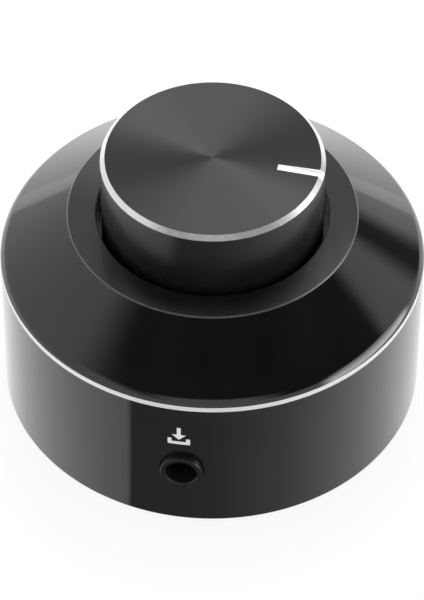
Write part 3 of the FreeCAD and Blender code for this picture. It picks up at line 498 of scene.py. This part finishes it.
# %% Outline of the housing
def housing_outline():
    """Half section of the housing, from the band's top down the side and round the inside."""
    slope = math.radians(SHOULDER_SLOPE)
    band_edge = (BODY_RADIUS - BAND_LEAN, BAND_TOP)
    centre = (band_edge[0] - SHOULDER_RADIUS * math.sin(slope),
              band_edge[1] - SHOULDER_RADIUS * math.cos(slope))
    cone_top = (RING_RADIUS, RING_TOP - EDGE_BREAK)
    reach = Vector(centre) - Vector(cone_top)
    touch = math.atan2(reach.y, reach.x) + math.asin(SHOULDER_RADIUS / reach.length) + math.pi / 2
    side = [
        (BODY_RADIUS, (BAND_FOOT + BAND_TOP) / 2),
        (BODY_RADIUS, BAND_FOOT),
        (BODY_RADIUS, JACK_AXIS + NOSE_RADIUS + PAST),
        (BODY_RADIUS, JACK_AXIS - NOSE_RADIUS - PAST),
        (BODY_RADIUS, SIDE_FOOT + EDGE_BREAK),
        (BODY_RADIUS - EDGE_BREAK, SIDE_FOOT),
    ]
    inside = [
        (REBATE_RADIUS, SIDE_FOOT),
        (REBATE_RADIUS, PLATE_TOP),
        (CAVITY_RADIUS, PLATE_TOP),
        (CAVITY_RADIUS, DECK_UNDER),
        (BUSHING_HOLE, DECK_UNDER),
        (BUSHING_HOLE, WELL_FLOOR),
    ]
    well = [
        (WELL_RADIUS, WELL_FLOOR),
        (WELL_RADIUS, RING_TOP - EDGE_BREAK),
        (WELL_RADIUS + EDGE_BREAK, RING_TOP),
        (RING_RADIUS - EDGE_BREAK, RING_TOP),
        cone_top,
    ]
    shoulder = arc(*centre, SHOULDER_RADIUS, math.degrees(touch), 90 - SHOULDER_SLOPE, steps=14)
    return shoulder + side + inside + well


housing = turn("housing_shell", housing_outline())
report(housing)

# %% [markdown]
# The jacks' noses pass through round holes, and small pockets behind them take the square jack
# bodies. Boolean cuts make both, along with the blind holes for the standoffs and for the
# potentiometer's locating pip.

# %% Holes in the housing
for side in (-1, 1):
    inner, outer = side * (CAVITY_RADIUS - 2 * PAST), side * (BODY_RADIUS + 2 * PAST)
    combine(housing, rod(NOSE_HOLE, (0, inner, JACK_AXIS), (0, outer, JACK_AXIS)))
    near, far = sorted((side * (JACK_FACE + JACK_SEAT_GAP), side * JACK_ROOM_BACK))
    half_room = JACK_HALF_WIDTH + JACK_ROOM_GAP
    combine(housing, block((-half_room, near, BOARD_UNDER), (half_room, far, JACK_TOP + JACK_ROOM_GAP)))
for quarter in range(4):
    angle = math.radians(45 + 90 * quarter)
    place = (FIXING_RADIUS * math.cos(angle), FIXING_RADIUS * math.sin(angle))
    combine(housing, rod(STUD_HOLE, (*place, DECK_UNDER - PAST), (*place, DECK_UNDER + STUD_DEPTH), steps=32))
combine(housing, rod(LOCATOR_HOLE, (-LOCATOR_PLACE, 0, DECK_UNDER - PAST),
                     (-LOCATOR_PLACE, 0, DECK_UNDER + LOCATOR_DEPTH), steps=32))
smooth(housing)
report(housing)

# %% [markdown]
# Its faces are told apart by their place: the band is near the outside, the flat ring is at the
# top, and the broken edges of the ring lie just below it.

# %% Finishes of the housing
BAND, RING, GLINT_EDGES = 1, 2, 3
paint(housing, gloss_black, bright_band, spun_ring, edge_glint)
for face in housing.data.polygons:
    height, out = face.center.z / MM, math.hypot(*face.center.xy) / MM
    if BAND_FOOT < height < BAND_TOP and out > BODY_RADIUS - 0.1:
        face.material_index = BAND
    elif height > RING_TOP - HAIR:
        face.material_index = RING
    elif height > RING_TOP - EDGE_BREAK and out > WELL_RADIUS + HAIR:
        # The ring's broken edges take the lighter black of the painted highlight.
        face.material_index = GLINT_EDGES
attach(housing, "puck")
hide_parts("housing")
print("faces of the band:", sum(face.material_index == BAND for face in housing.data.polygons))

# %% [markdown]
# ## The knob
#
# The knob is a deep cup with a hub inside for the potentiometer's shaft. Its face is dead flat,
# with the tiny dimple of the lathe centre, and its edge is cut away to a bright bevel.

# %% Turned body of the knob
def knob_outline():
    """Half section of the knob, from the dimple over the face and round the inside."""
    return [
        (0, KNOB_TOP - DIMPLE_DEPTH),
        (DIMPLE_RADIUS, KNOB_TOP),
        (KNOB_RADIUS - BEVEL_WIDTH, KNOB_TOP),
        (KNOB_RADIUS, KNOB_TOP - BEVEL_DROP),
        (KNOB_RADIUS, KNOB_UNDER + EDGE_BREAK),
        (KNOB_RADIUS - EDGE_BREAK, KNOB_UNDER),
        (SKIRT_BORE, KNOB_UNDER),
        (SKIRT_BORE, HUB_BORE_TOP),
        (HUB_RADIUS, HUB_BORE_TOP),
        (HUB_RADIUS, HUB_UNDER),
        (SHAFT_BORE, HUB_UNDER),
        (SHAFT_BORE, HUB_BORE_TOP),
        (0, HUB_BORE_TOP),
    ]


knob = turn("knob_turned", knob_outline())
report(knob)

# %% [markdown]
# The pointer is milled from the rim inwards with a slanted tool, so it is widest and deepest
# at the rim and shallow at its inner end. The cutter is a box whose outer end is widened and
# whose floor slopes. The set screw's hole and the hole for its driver are cut on the far side
# of the knob from the pointer.

# %% Pointer and set screw holes
def pointer_cutter():
    """Wedge for the pointer, drawn along +X."""
    wedge = block((POINTER_START, -POINTER_WIDTH / 2, KNOB_TOP - POINTER_DEPTH),
                  (KNOB_RADIUS + PAST, POINTER_WIDTH / 2, KNOB_TOP + PAST))
    only(wedge)
    pick(wedge, lambda place: place.x > KNOB_RADIUS)
    bpy.ops.transform.resize(value=(1, POINTER_WIDENING, 1), center_override=(0, 0, 0))
    pick(wedge, lambda place: place.x > KNOB_RADIUS and place.z < KNOB_TOP)
    bpy.ops.transform.translate(value=(0, 0, -POINTER_DROP * MM))
    bpy.ops.object.mode_set(mode="OBJECT")
    return wedge


combine(knob, pointer_cutter())
combine(knob, rod(SET_SCREW_HOLE, (-HUB_RADIUS - PAST, 0, SET_SCREW_AXIS), (0, 0, SET_SCREW_AXIS), steps=48))
combine(knob, rod(DRIVER_HOLE, (-KNOB_RADIUS - PAST, 0, SET_SCREW_AXIS),
                  (-SKIRT_BORE + PAST, 0, SET_SCREW_AXIS), steps=64))
smooth(knob)
report(knob)

# %% [markdown]
# The bevel is told apart by its slope, which lies between that of the top and that of the side,
# and the pointer by its place. All that is lower than the top face is satin. At last the whole
# knob is turned until the pointer is where it rests.

# %% Finishes of the knob
BEVEL, SATIN, POINTER = 1, 2, 3
LEAST_LEAN, MOST_LEAN = 0.4, 0.9
POINTER_REACH = 0.6
TOP_MARGIN = 0.1
paint(knob, spun_black, bright_cut, satin_black, pointer_cut)
for face in knob.data.polygons:
    place = face.center / MM
    under_top = KNOB_TOP - place.z
    outward = Vector((place.x, place.y, 0)).normalized()
    along_pointer = abs(place.y) < POINTER_REACH and place.x > POINTER_START - TOP_MARGIN
    if along_pointer and HAIR < under_top < POINTER_DEPTH + POINTER_DROP + HAIR:
        face.material_index = POINTER
    elif under_top < BEVEL_DROP and LEAST_LEAN < face.normal.dot(outward) < MOST_LEAN:
        face.material_index = BEVEL
    elif under_top > TOP_MARGIN:
        face.material_index = SATIN
swing(knob, POINTER_TURN)
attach(knob, "knob_and_shaft")
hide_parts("knob")
print("faces of the pointer:", sum(face.material_index == POINTER for face in knob.data.polygons))

# %% [markdown]
# ## The jacks
#
# Each jack is a moulded block with a round nose that fills its hole in the side. The nose gets
# a soft lip, the block gets small bevels and the two are united. Then the socket is bored with
# a turned cutter that flares at the mouth, and slots make room for the three contact springs.

# %% One jack, facing the front
def point_to_front(piece, root):
    """Tip an upright piece over, with its root this far in front of the knob's axis."""
    swing(piece, 90, "X", step=(0, -root, JACK_AXIS))


def make_jack():
    """Moulded body of the input jack, with its socket and the slots for its springs."""
    body = block((-JACK_HALF_WIDTH, -JACK_FACE, BOARD_TOP), (JACK_HALF_WIDTH, -JACK_BACK, JACK_TOP))
    body.name = body.data.name = "in_jack_socket"
    bpy.ops.object.mode_set(mode="EDIT")
    bpy.ops.mesh.bevel(offset=JACK_BEVEL * MM, segments=3)
    bpy.ops.object.mode_set(mode="OBJECT")

    reach = NOSE_FACE - JACK_FACE + NOSE_ROOT
    nose = turn("nose", [
        (0, 0), (NOSE_RADIUS, 0),
        *arc(NOSE_RADIUS - NOSE_LIP, reach - NOSE_LIP, NOSE_LIP, 0, 90, steps=6), (0, reach),
    ], steps=96)
    point_to_front(nose, JACK_FACE - NOSE_ROOT)
    combine(body, nose, "UNION")

    mouth = SOCKET_RADIUS + SOCKET_FLARE
    socket = turn("socket", [
        (0, 0), (SOCKET_RADIUS, 0), (SOCKET_RADIUS, SOCKET_DEPTH - SOCKET_FLARE),
        (mouth, SOCKET_DEPTH), (mouth, SOCKET_DEPTH + PAST), (0, SOCKET_DEPTH + PAST),
    ], steps=96)
    point_to_front(socket, NOSE_FACE - SOCKET_DEPTH)
    combine(body, socket)

    for spring in ("tip_spring", "ring_spring", "sleeve_spring"):
        leaf_low, leaf_high = low(f"in_jack_{spring}"), high(f"in_jack_{spring}")
        leaf_low.z = BOARD_TOP - PAST
        below = leaf_low - Vector((SPRING_GAP, SPRING_GAP, 0))
        above = leaf_high + Vector((SPRING_GAP, SPRING_GAP, SPRING_GAP))
        combine(body, block(below, above))
    smooth(body, 30)
    paint(body, jack_moulding)
    return body


in_jack = make_jack()
report(in_jack)

# %% [markdown]
# The rear jack is the same moulding turned half round the axis, so it is a copy with a mesh of
# its own.

# %% The jack at the rear
only(in_jack)
bpy.ops.object.duplicate()
out_jack = bpy.context.object
out_jack.name = out_jack.data.name = "out_jack_socket"
swing(out_jack, 180)
for jack, node in ((in_jack, "in_jack_body"), (out_jack, "out_jack_body")):
    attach(jack, "puck")
    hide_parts(node)
    report(jack)

# %% [markdown]
# ## The printed marks
#
# Each jack has a small printed sign above it: an arrow into a tray for the input, and an arrow
# out of a tray for the output. A sign is drawn flat from a few planes, cut into narrow strips so
# that it can bend, laid on the round side with Shrinkwrap, and thickened to a film of ink.

# %% Printed signs over the jacks
STROKE = 0.46
TRAY_HALF = 1.3
TRAY_FOOT = -1.4
TRAY_RIM = -0.45
HEAD_HALF = 0.82
STRIPS = 10
STRIP_WIDTH = 0.26
MARK_HEIGHT = 15.05
MARK_SHIFT = -0.35
INK = 0.02
INK_GAP = 0.004


def flat_bar(left, right, bottom, top):
    """Flat upright rectangle in front of the side, as wide as a stroke of the sign."""
    bpy.ops.object.select_all(action="DESELECT")
    bpy.ops.mesh.primitive_plane_add(size=1, rotation=(math.radians(90), 0, 0))
    bar = bpy.context.object
    bpy.ops.object.transform_apply(location=False, rotation=True, scale=False)
    bpy.ops.object.mode_set(mode="EDIT")
    bpy.ops.transform.resize(value=((right - left) * MM, 1, (top - bottom) * MM))
    middle = Vector(((left + right) / 2, -BODY_RADIUS - 0.5, MARK_HEIGHT + (bottom + top) / 2))
    bpy.ops.transform.translate(value=middle * MM)
    bpy.ops.object.mode_set(mode="OBJECT")
    return bar


def flat_arrowhead(tip, base, half_width):
    """Flat triangle between the height of its tip and of its base."""
    head = flat_bar(-half_width, half_width, min(tip, base), max(tip, base))
    pick(head, lambda place: abs(place.z - MARK_HEIGHT - tip) < HAIR)
    bpy.ops.mesh.merge(type="CENTER")
    bpy.ops.object.mode_set(mode="OBJECT")
    return head


def make_mark(name, tip, base, tail):
    """Arrow between tail and tip, over a tray with low ends."""
    pieces = [
        flat_bar(-TRAY_HALF, TRAY_HALF, TRAY_FOOT, TRAY_FOOT + STROKE),
        flat_bar(-TRAY_HALF, -TRAY_HALF + STROKE, TRAY_FOOT + STROKE, TRAY_RIM),
        flat_bar(TRAY_HALF - STROKE, TRAY_HALF, TRAY_FOOT + STROKE, TRAY_RIM),
        flat_bar(-STROKE / 2, STROKE / 2, min(tail, base), max(tail, base)),
        flat_arrowhead(tip, base, HEAD_HALF),
    ]
    bpy.ops.object.select_all(action="DESELECT")
    for piece in pieces:
        piece.select_set(True)
    bpy.context.view_layer.objects.active = pieces[0]
    bpy.ops.object.join()
    mark = bpy.context.object
    mark.name = mark.data.name = name
    bpy.ops.object.mode_set(mode="EDIT")
    bpy.ops.mesh.select_all(action="SELECT")
    bpy.ops.transform.translate(value=(MARK_SHIFT * MM, 0, 0))
    for strip in range(STRIPS):
        cut = MARK_SHIFT + (strip - (STRIPS - 1) / 2) * STRIP_WIDTH
        bpy.ops.mesh.select_all(action="SELECT")
        bpy.ops.mesh.bisect(plane_co=(cut * MM, 0, 0), plane_no=(1, 0, 0))
    bpy.ops.object.mode_set(mode="OBJECT")
    bpy.ops.object.modifier_add(type="SHRINKWRAP")
    wrap = mark.modifiers[-1]
    wrap.target = housing
    wrap.wrap_method = "PROJECT"
    wrap.use_project_y = True
    wrap.use_negative_direction = True
    wrap.offset = INK_GAP * MM
    bpy.ops.object.modifier_apply(modifier=wrap.name)
    bpy.ops.object.modifier_add(type="SOLIDIFY")
    film = mark.modifiers[-1]
    film.thickness = INK * MM
    film.offset = 1
    bpy.ops.object.modifier_apply(modifier=film.name)
    bpy.ops.object.mode_set(mode="EDIT")
    bpy.ops.mesh.select_all(action="SELECT")
    bpy.ops.mesh.normals_make_consistent(inside=False)
    bpy.ops.object.mode_set(mode="OBJECT")
    paint(mark, legend_ink)
    return mark


input_mark = make_mark("input_mark", tip=-0.62, base=0.2, tail=1.4)
output_mark = make_mark("output_mark", tip=1.4, base=0.58, tail=-0.62)
swing(output_mark, 180)
for mark in (input_mark, output_mark):
    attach(mark, "puck")
    report(mark)

# %% [markdown]
# ## The underside
#
# Four rubber feet and four countersunk screws show from below. A foot is a small turned disc
# with a soft edge and a shallow dish, so that it grips on its rim. A screw has a hex socket.
# One of each is modelled, then copied to its place on the fixing circle.

# %% Feet and screws
def on_fixing_circle(original, name, angle):
    """A copy of a piece, with its own mesh, moved out to the fixing circle."""
    only(original)
    bpy.ops.object.duplicate()
    copy = bpy.context.object
    copy.name = copy.data.name = name
    place = Vector((math.cos(math.radians(angle)), math.sin(math.radians(angle)), 0))
    swing(copy, 0, step=place * FIXING_RADIUS)
    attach(copy, "puck")
    return copy


FOOT_RADIUS = (high("foot_1").x - low("foot_1").x) / 2
FOOT_EDGE = 0.4
DISH_RADIUS = 2.3
DISH_DEPTH = 0.18
DISH_EDGE = 0.2
foot = turn("foot_pattern", [
    (0, DISH_DEPTH), (DISH_RADIUS, DISH_DEPTH),
    *arc(DISH_RADIUS, DISH_DEPTH - DISH_EDGE, DISH_EDGE, 90, 20, steps=3),
    *arc(FOOT_RADIUS - FOOT_EDGE, FOOT_EDGE, FOOT_EDGE, 270, 360, steps=6),
    (FOOT_RADIUS, PLATE_UNDER), (0, PLATE_UNDER),
], steps=72)
smooth(foot, 35)
paint(foot, rubber)
for number in range(4):
    pad = on_fixing_circle(foot, f"foot_pad_{number + 1}", 90 * number)
    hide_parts(f"foot_{number + 1}")
bpy.data.objects.remove(foot)

SCREW_HEAD = 2.35
SCREW_RADIUS = 1.25
HEAD_EDGE = 0.1
TIP_EDGE = 0.2
HEX_RADIUS = 0.87
HEX_DEPTH = 0.9
head_under = PLATE_UNDER + 0.03
screw_end = high("base_screws").z
screw = turn("screw_pattern", [
    (0, head_under), (SCREW_HEAD - HEAD_EDGE, head_under), (SCREW_HEAD, head_under + HEAD_EDGE),
    (SCREW_RADIUS, head_under + SCREW_HEAD - SCREW_RADIUS), (SCREW_RADIUS, screw_end - TIP_EDGE),
    (SCREW_RADIUS - TIP_EDGE, screw_end), (0, screw_end),
], steps=64)
combine(screw, rod(HEX_RADIUS, (0, 0, PLATE_UNDER - PAST), (0, 0, head_under + HEX_DEPTH), steps=6))
smooth(screw, 30)
paint(screw, black_oxide)
for number in range(4):
    copy = on_fixing_circle(screw, f"base_screw_{number + 1}", 45 + 90 * number)
    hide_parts("base_screws")
bpy.data.objects.remove(screw)
print("underside dressed")

# %% [markdown]
# ## The studio
#
# A black mirror shows what stands round it, so the studio is built for its reflections. The
# object stands on a pale floor in a pale room, with two lamps behind it. Cards that only the
# gloss can see shape the reflections: dark ones over the front and the right, a dark strip at
# the right rear, a grey one in front, two glowing ones at the right, and a grey sheet that lies
# on the floor.

# %% Where things stand, seen from the camera
CAMERA_TURN = 7.7
CAMERA_ELEVATION = 47.06


def towards(azimuth, elevation):
    """Unit vector; azimuth is counted from the camera's side, to its right."""
    turn_from_x = math.radians(CAMERA_TURN - 90 + azimuth)
    rise = math.radians(elevation)
    level = math.cos(rise)
    return Vector((level * math.cos(turn_from_x), level * math.sin(turn_from_x), math.sin(rise)))


def facing(azimuth, elevation, distance, roll=0.0):
    """Place and turn of something that faces the object from this side."""
    away = towards(azimuth, elevation)
    turned = away.to_track_quat("Z", "Y").to_matrix() @ Matrix.Rotation(math.radians(roll), 3, "Z")
    return away * distance, turned


def glowing_material(name, strength):
    """A white glow of its own, not wired to the surface yet, and the node that makes it."""
    material = bpy.data.materials.new(name)
    material.use_nodes = True
    tree = material.node_tree
    tree.nodes.remove(tree.nodes["Principled BSDF"])
    return material, add_node(material, "Emission", Color=(1, 1, 1, 1), Strength=strength)


def surface_socket(material):
    return material.node_tree.nodes["Material Output"].inputs["Surface"]


print("the camera looks from", [round(part, 3) for part in towards(0, CAMERA_ELEVATION)])


# %% [markdown]
# ### Floor and room
#
# The floor looks white to the camera and in the gloss, through the Light Path node, and keeps a
# little plain diffuse white so that the object still casts its soft shadow there. The room is
# white to the camera as well, and darker in the gloss than the light that it gives.

# %% Floor
FLOOR_GLOW = 0.88
bpy.ops.object.select_all(action="DESELECT")
bpy.ops.mesh.primitive_plane_add(size=12, location=(0, 0, -0.02 * MM))
floor = bpy.context.object
floor.name = "floor"
floor_white, floor_glow = glowing_material("floor_white", 1.0)
paper = add_node(floor_white, "BsdfDiffuse", Color=(0.97, 0.97, 0.97, 1))
path = add_node(floor_white, "LightPath")
level = path.outputs["Is Camera Ray"]
for ray in ("Is Glossy Ray", "Is Transmission Ray"):
    either = add_node(floor_white, "Math", operation="MAXIMUM")
    wire(floor_white, level, either.inputs[0])
    wire(floor_white, path.outputs[ray], either.inputs[1])
    level = either.outputs[0]
share = add_node(floor_white, "Math", operation="MULTIPLY")
share.inputs[1].default_value = FLOOR_GLOW
mixed = add_node(floor_white, "MixShader")
wire(floor_white, level, share.inputs[0])
wire(floor_white, share.outputs[0], mixed.inputs["Fac"])
wire(floor_white, paper.outputs["BSDF"], mixed.inputs[1])
wire(floor_white, floor_glow.outputs["Emission"], mixed.inputs[2])
wire(floor_white, mixed.outputs["Shader"], surface_socket(floor_white))
floor.data.materials.append(floor_white)
print("floor made")

# %% Room
ROOM_LIGHT = 1.0
ROOM_IN_GLOSS = 0.62
world = bpy.data.worlds.new("pale_room")
bpy.context.scene.world = world
world.use_nodes = True
room = world.node_tree.nodes["Background"]
room.inputs["Color"].default_value = (1, 1, 1, 1)
path = add_node(world, "LightPath")
dimmed = add_node(world, "Math", operation="MULTIPLY_ADD")
dimmed.inputs[1].default_value = ROOM_IN_GLOSS - ROOM_LIGHT
dimmed.inputs[2].default_value = ROOM_LIGHT
wire(world, path.outputs["Is Glossy Ray"], dimmed.inputs[0])
level = dimmed.outputs[0]
for ray in ("Is Camera Ray", "Is Transmission Ray"):
    white = add_node(world, "Math", operation="MAXIMUM")
    wire(world, level, white.inputs[0])
    wire(world, path.outputs[ray], white.inputs[1])
    level = white.outputs[0]
wire(world, level, room.inputs["Strength"])
print("room made")

# %% [markdown]
# ### Lamps
#
# The spun face mirrors the room behind the object into the camera. Each wedge of its fan spreads
# that mirror point into a line, and the line turns with the wedge. So two soft boxes hang on one
# line through the point, one on each side of it: the wedges along that line are bright, and the
# gap between the lamps keeps the wedges across it dark. A lamp's power is the brightness that its
# front should show, times its area, so it can be resized and keep its look in the gloss.

# %% Lamps
def soft_box(name, azimuth, elevation, distance, width, height, brightness, roll, shift):
    """A lamp that faces the object, turned by roll and then moved by shift along its own height."""
    place, turned = facing(azimuth, elevation, distance, roll)
    bpy.ops.object.select_all(action="DESELECT")
    bpy.ops.object.light_add(type="AREA", location=place + turned @ Vector((0, shift, 0)),
                             rotation=turned.to_euler())
    lamp = bpy.context.object
    lamp.name = name
    lamp.data.shape = "RECTANGLE"
    lamp.data.size = width
    lamp.data.size_y = height
    lamp.data.energy = brightness * math.pi * width * height
    lamp.visible_camera = False
    print(name, round(lamp.data.energy, 3), "W")


soft_box("lamp_behind_high", 178, 47, 0.7, 0.42, 0.34, 4.0, roll=16, shift=0.28)
soft_box("lamp_behind_low", 178, 47, 0.7, 0.42, 0.34, 4.0, roll=16, shift=-0.28)

# %% [markdown]
# ### Cards
#
# A card is a plane with its own even brightness that fades out to its edges, so its reflection
# has no hard border. It is hidden from the camera and from the diffuse light: it is only there
# for the gloss.

# %% Cards
def hide_but_from_gloss(piece):
    """Keep a piece of the stage out of everything but reflections."""
    piece.visible_camera = False
    piece.visible_diffuse = False
    piece.visible_shadow = False
    piece.visible_transmission = False


def card(name, azimuth, elevation, distance, width, height, brightness, soft_side, soft_end):
    """A card that faces the object; the soft edges are shares of its half width and half height."""
    place, turned = facing(azimuth, elevation, distance)
    bpy.ops.object.select_all(action="DESELECT")
    bpy.ops.mesh.primitive_plane_add(size=2, location=place, rotation=turned.to_euler())
    piece = bpy.context.object
    piece.name = name
    piece.scale = (width / 2, height / 2, 1)
    material, glow = glowing_material(name, brightness)
    split = add_node(material, "SeparateXYZ")
    wire(material, object_place(material), split.inputs["Vector"])
    both = add_node(material, "Math", operation="MULTIPLY")
    for axis, soft, factor in (("X", soft_side, both.inputs[0]), ("Y", soft_end, both.inputs[1])):
        reach = add_node(material, "Math", operation="ABSOLUTE")
        fade = add_node(material, "MapRange", interpolation_type="SMOOTHSTEP",
                        From_Min=1 - soft, From_Max=1, To_Min=1, To_Max=0)
        wire(material, split.outputs[axis], reach.inputs[0])
        wire(material, reach.outputs[0], fade.inputs["Value"])
        wire(material, fade.outputs["Result"], factor)
    mixed = add_node(material, "MixShader")
    wire(material, both.outputs[0], mixed.inputs["Fac"])
    wire(material, add_node(material, "BsdfTransparent").outputs["BSDF"], mixed.inputs[1])
    wire(material, glow.outputs["Emission"], mixed.inputs[2])
    wire(material, mixed.outputs["Shader"], surface_socket(material))
    piece.data.materials.append(material)
    hide_but_from_gloss(piece)
    print("card", name)


card("dark_over_front", 11, 67, 0.5, 1.3, 0.96, 0.03, 0.5, 0.3)
card("dark_over_right", 62, 53, 0.6, 0.95, 0.85, 0.04, 0.4, 0.35)
card("pale_gap_front", 0, 36, 0.4, 0.5, 0.2, 0.6, 0.7, 0.6)
card("dark_strip_right", 128, 29, 0.9, 0.36, 0.85, 0.07, 0.85, 0.2)
card("glow_right", 78, 0, 0.3, 0.34, 0.38, 4.0, 0.35, 0.7)
card("glow_right_top", 79, 27, 0.35, 0.27, 0.11, 1.5, 0.5, 0.6)

# %% [markdown]
# The side of the puck stands upright, so all that it shows the camera is the floor close by. A
# grey sheet on the floor makes its front dark. The greys sweep round a point inside the puck,
# near the focus of a round mirror, so each upright line of the side shows one grey from top to
# bottom.

# %% Grey sheet on the floor
SWEEP = [
    (-180, 0.9), (-150, 0.9), (-120, 0.93), (-100, 0.82), (-90, 0.78), (-60, 0.63), (-45.5, 0.56),
    (-44, 0.12), (0, 0.15), (40, 0.3), (60, 0.46), (80, 0.62), (100, 0.8), (120, 0.84), (150, 0.86),
    (180, 0.9),
]
FOCUS_RADIUS = 13.4
LIFT = 0.02
focus = towards(0, 0) * FOCUS_RADIUS * MM
bpy.ops.object.select_all(action="DESELECT")
bpy.ops.mesh.primitive_plane_add(size=0.5, location=focus + Vector((0, 0, LIFT * MM)),
                                 rotation=(0, 0, math.radians(CAMERA_TURN - 90)))
sheet = bpy.context.object
sheet.name = "grey_sheet"
material, glow = glowing_material("grey_sheet", 1.0)
sweep = add_node(material, "TexGradient", gradient_type="RADIAL")
greys = add_node(material, "ValToRGB")
wire(material, object_place(material), sweep.inputs["Vector"])
wire(material, sweep.outputs["Fac"], greys.inputs["Fac"])
wire(material, greys.outputs["Color"], glow.inputs["Strength"])
wire(material, glow.outputs["Emission"], surface_socket(material))
stops = greys.color_ramp.elements
for angle, grey in SWEEP[1:-1]:
    stops.new((angle + 180) / 360)
for stop, (angle, grey) in zip(stops, SWEEP):
    stop.color = (grey, grey, grey, 1)
sheet.data.materials.append(material)
hide_but_from_gloss(sheet)
print("studio made")

# %% [markdown]
# ## Camera
#
# A long lens stands a little over 40 centimetres away and looks down at the puck, slightly to the
# right of its front. It aims at a point a third of the way up the axis, and is rolled a little
# over a third of a degree.

# %% Camera
CAMERA_DISTANCE = 432.5
CAMERA_CENTRE = 9.35
AIM_HEIGHT = 11.43
CAMERA_ROLL = 0.0065
FOCAL_LENGTH = 216
SENSOR_SIDE = 36

stand = Vector((0, 0, CAMERA_CENTRE)) + towards(0, CAMERA_ELEVATION) * CAMERA_DISTANCE
back = (stand - Vector((0, 0, AIM_HEIGHT))).normalized()
turned = back.to_track_quat("Z", "Y").to_matrix() @ Matrix.Rotation(CAMERA_ROLL, 3, "Z")
bpy.ops.object.select_all(action="DESELECT")
bpy.ops.object.camera_add(location=stand * MM, rotation=turned.to_euler())
camera = bpy.context.object
camera.data.lens = FOCAL_LENGTH
camera.data.sensor_width = SENSOR_SIDE
camera.data.clip_start = 0.01
camera.data.clip_end = 50
bpy.context.scene.camera = camera
bpy.context.scene.view_settings.view_transform = "Standard"
print("camera stands at", [round(part, 1) for part in stand])
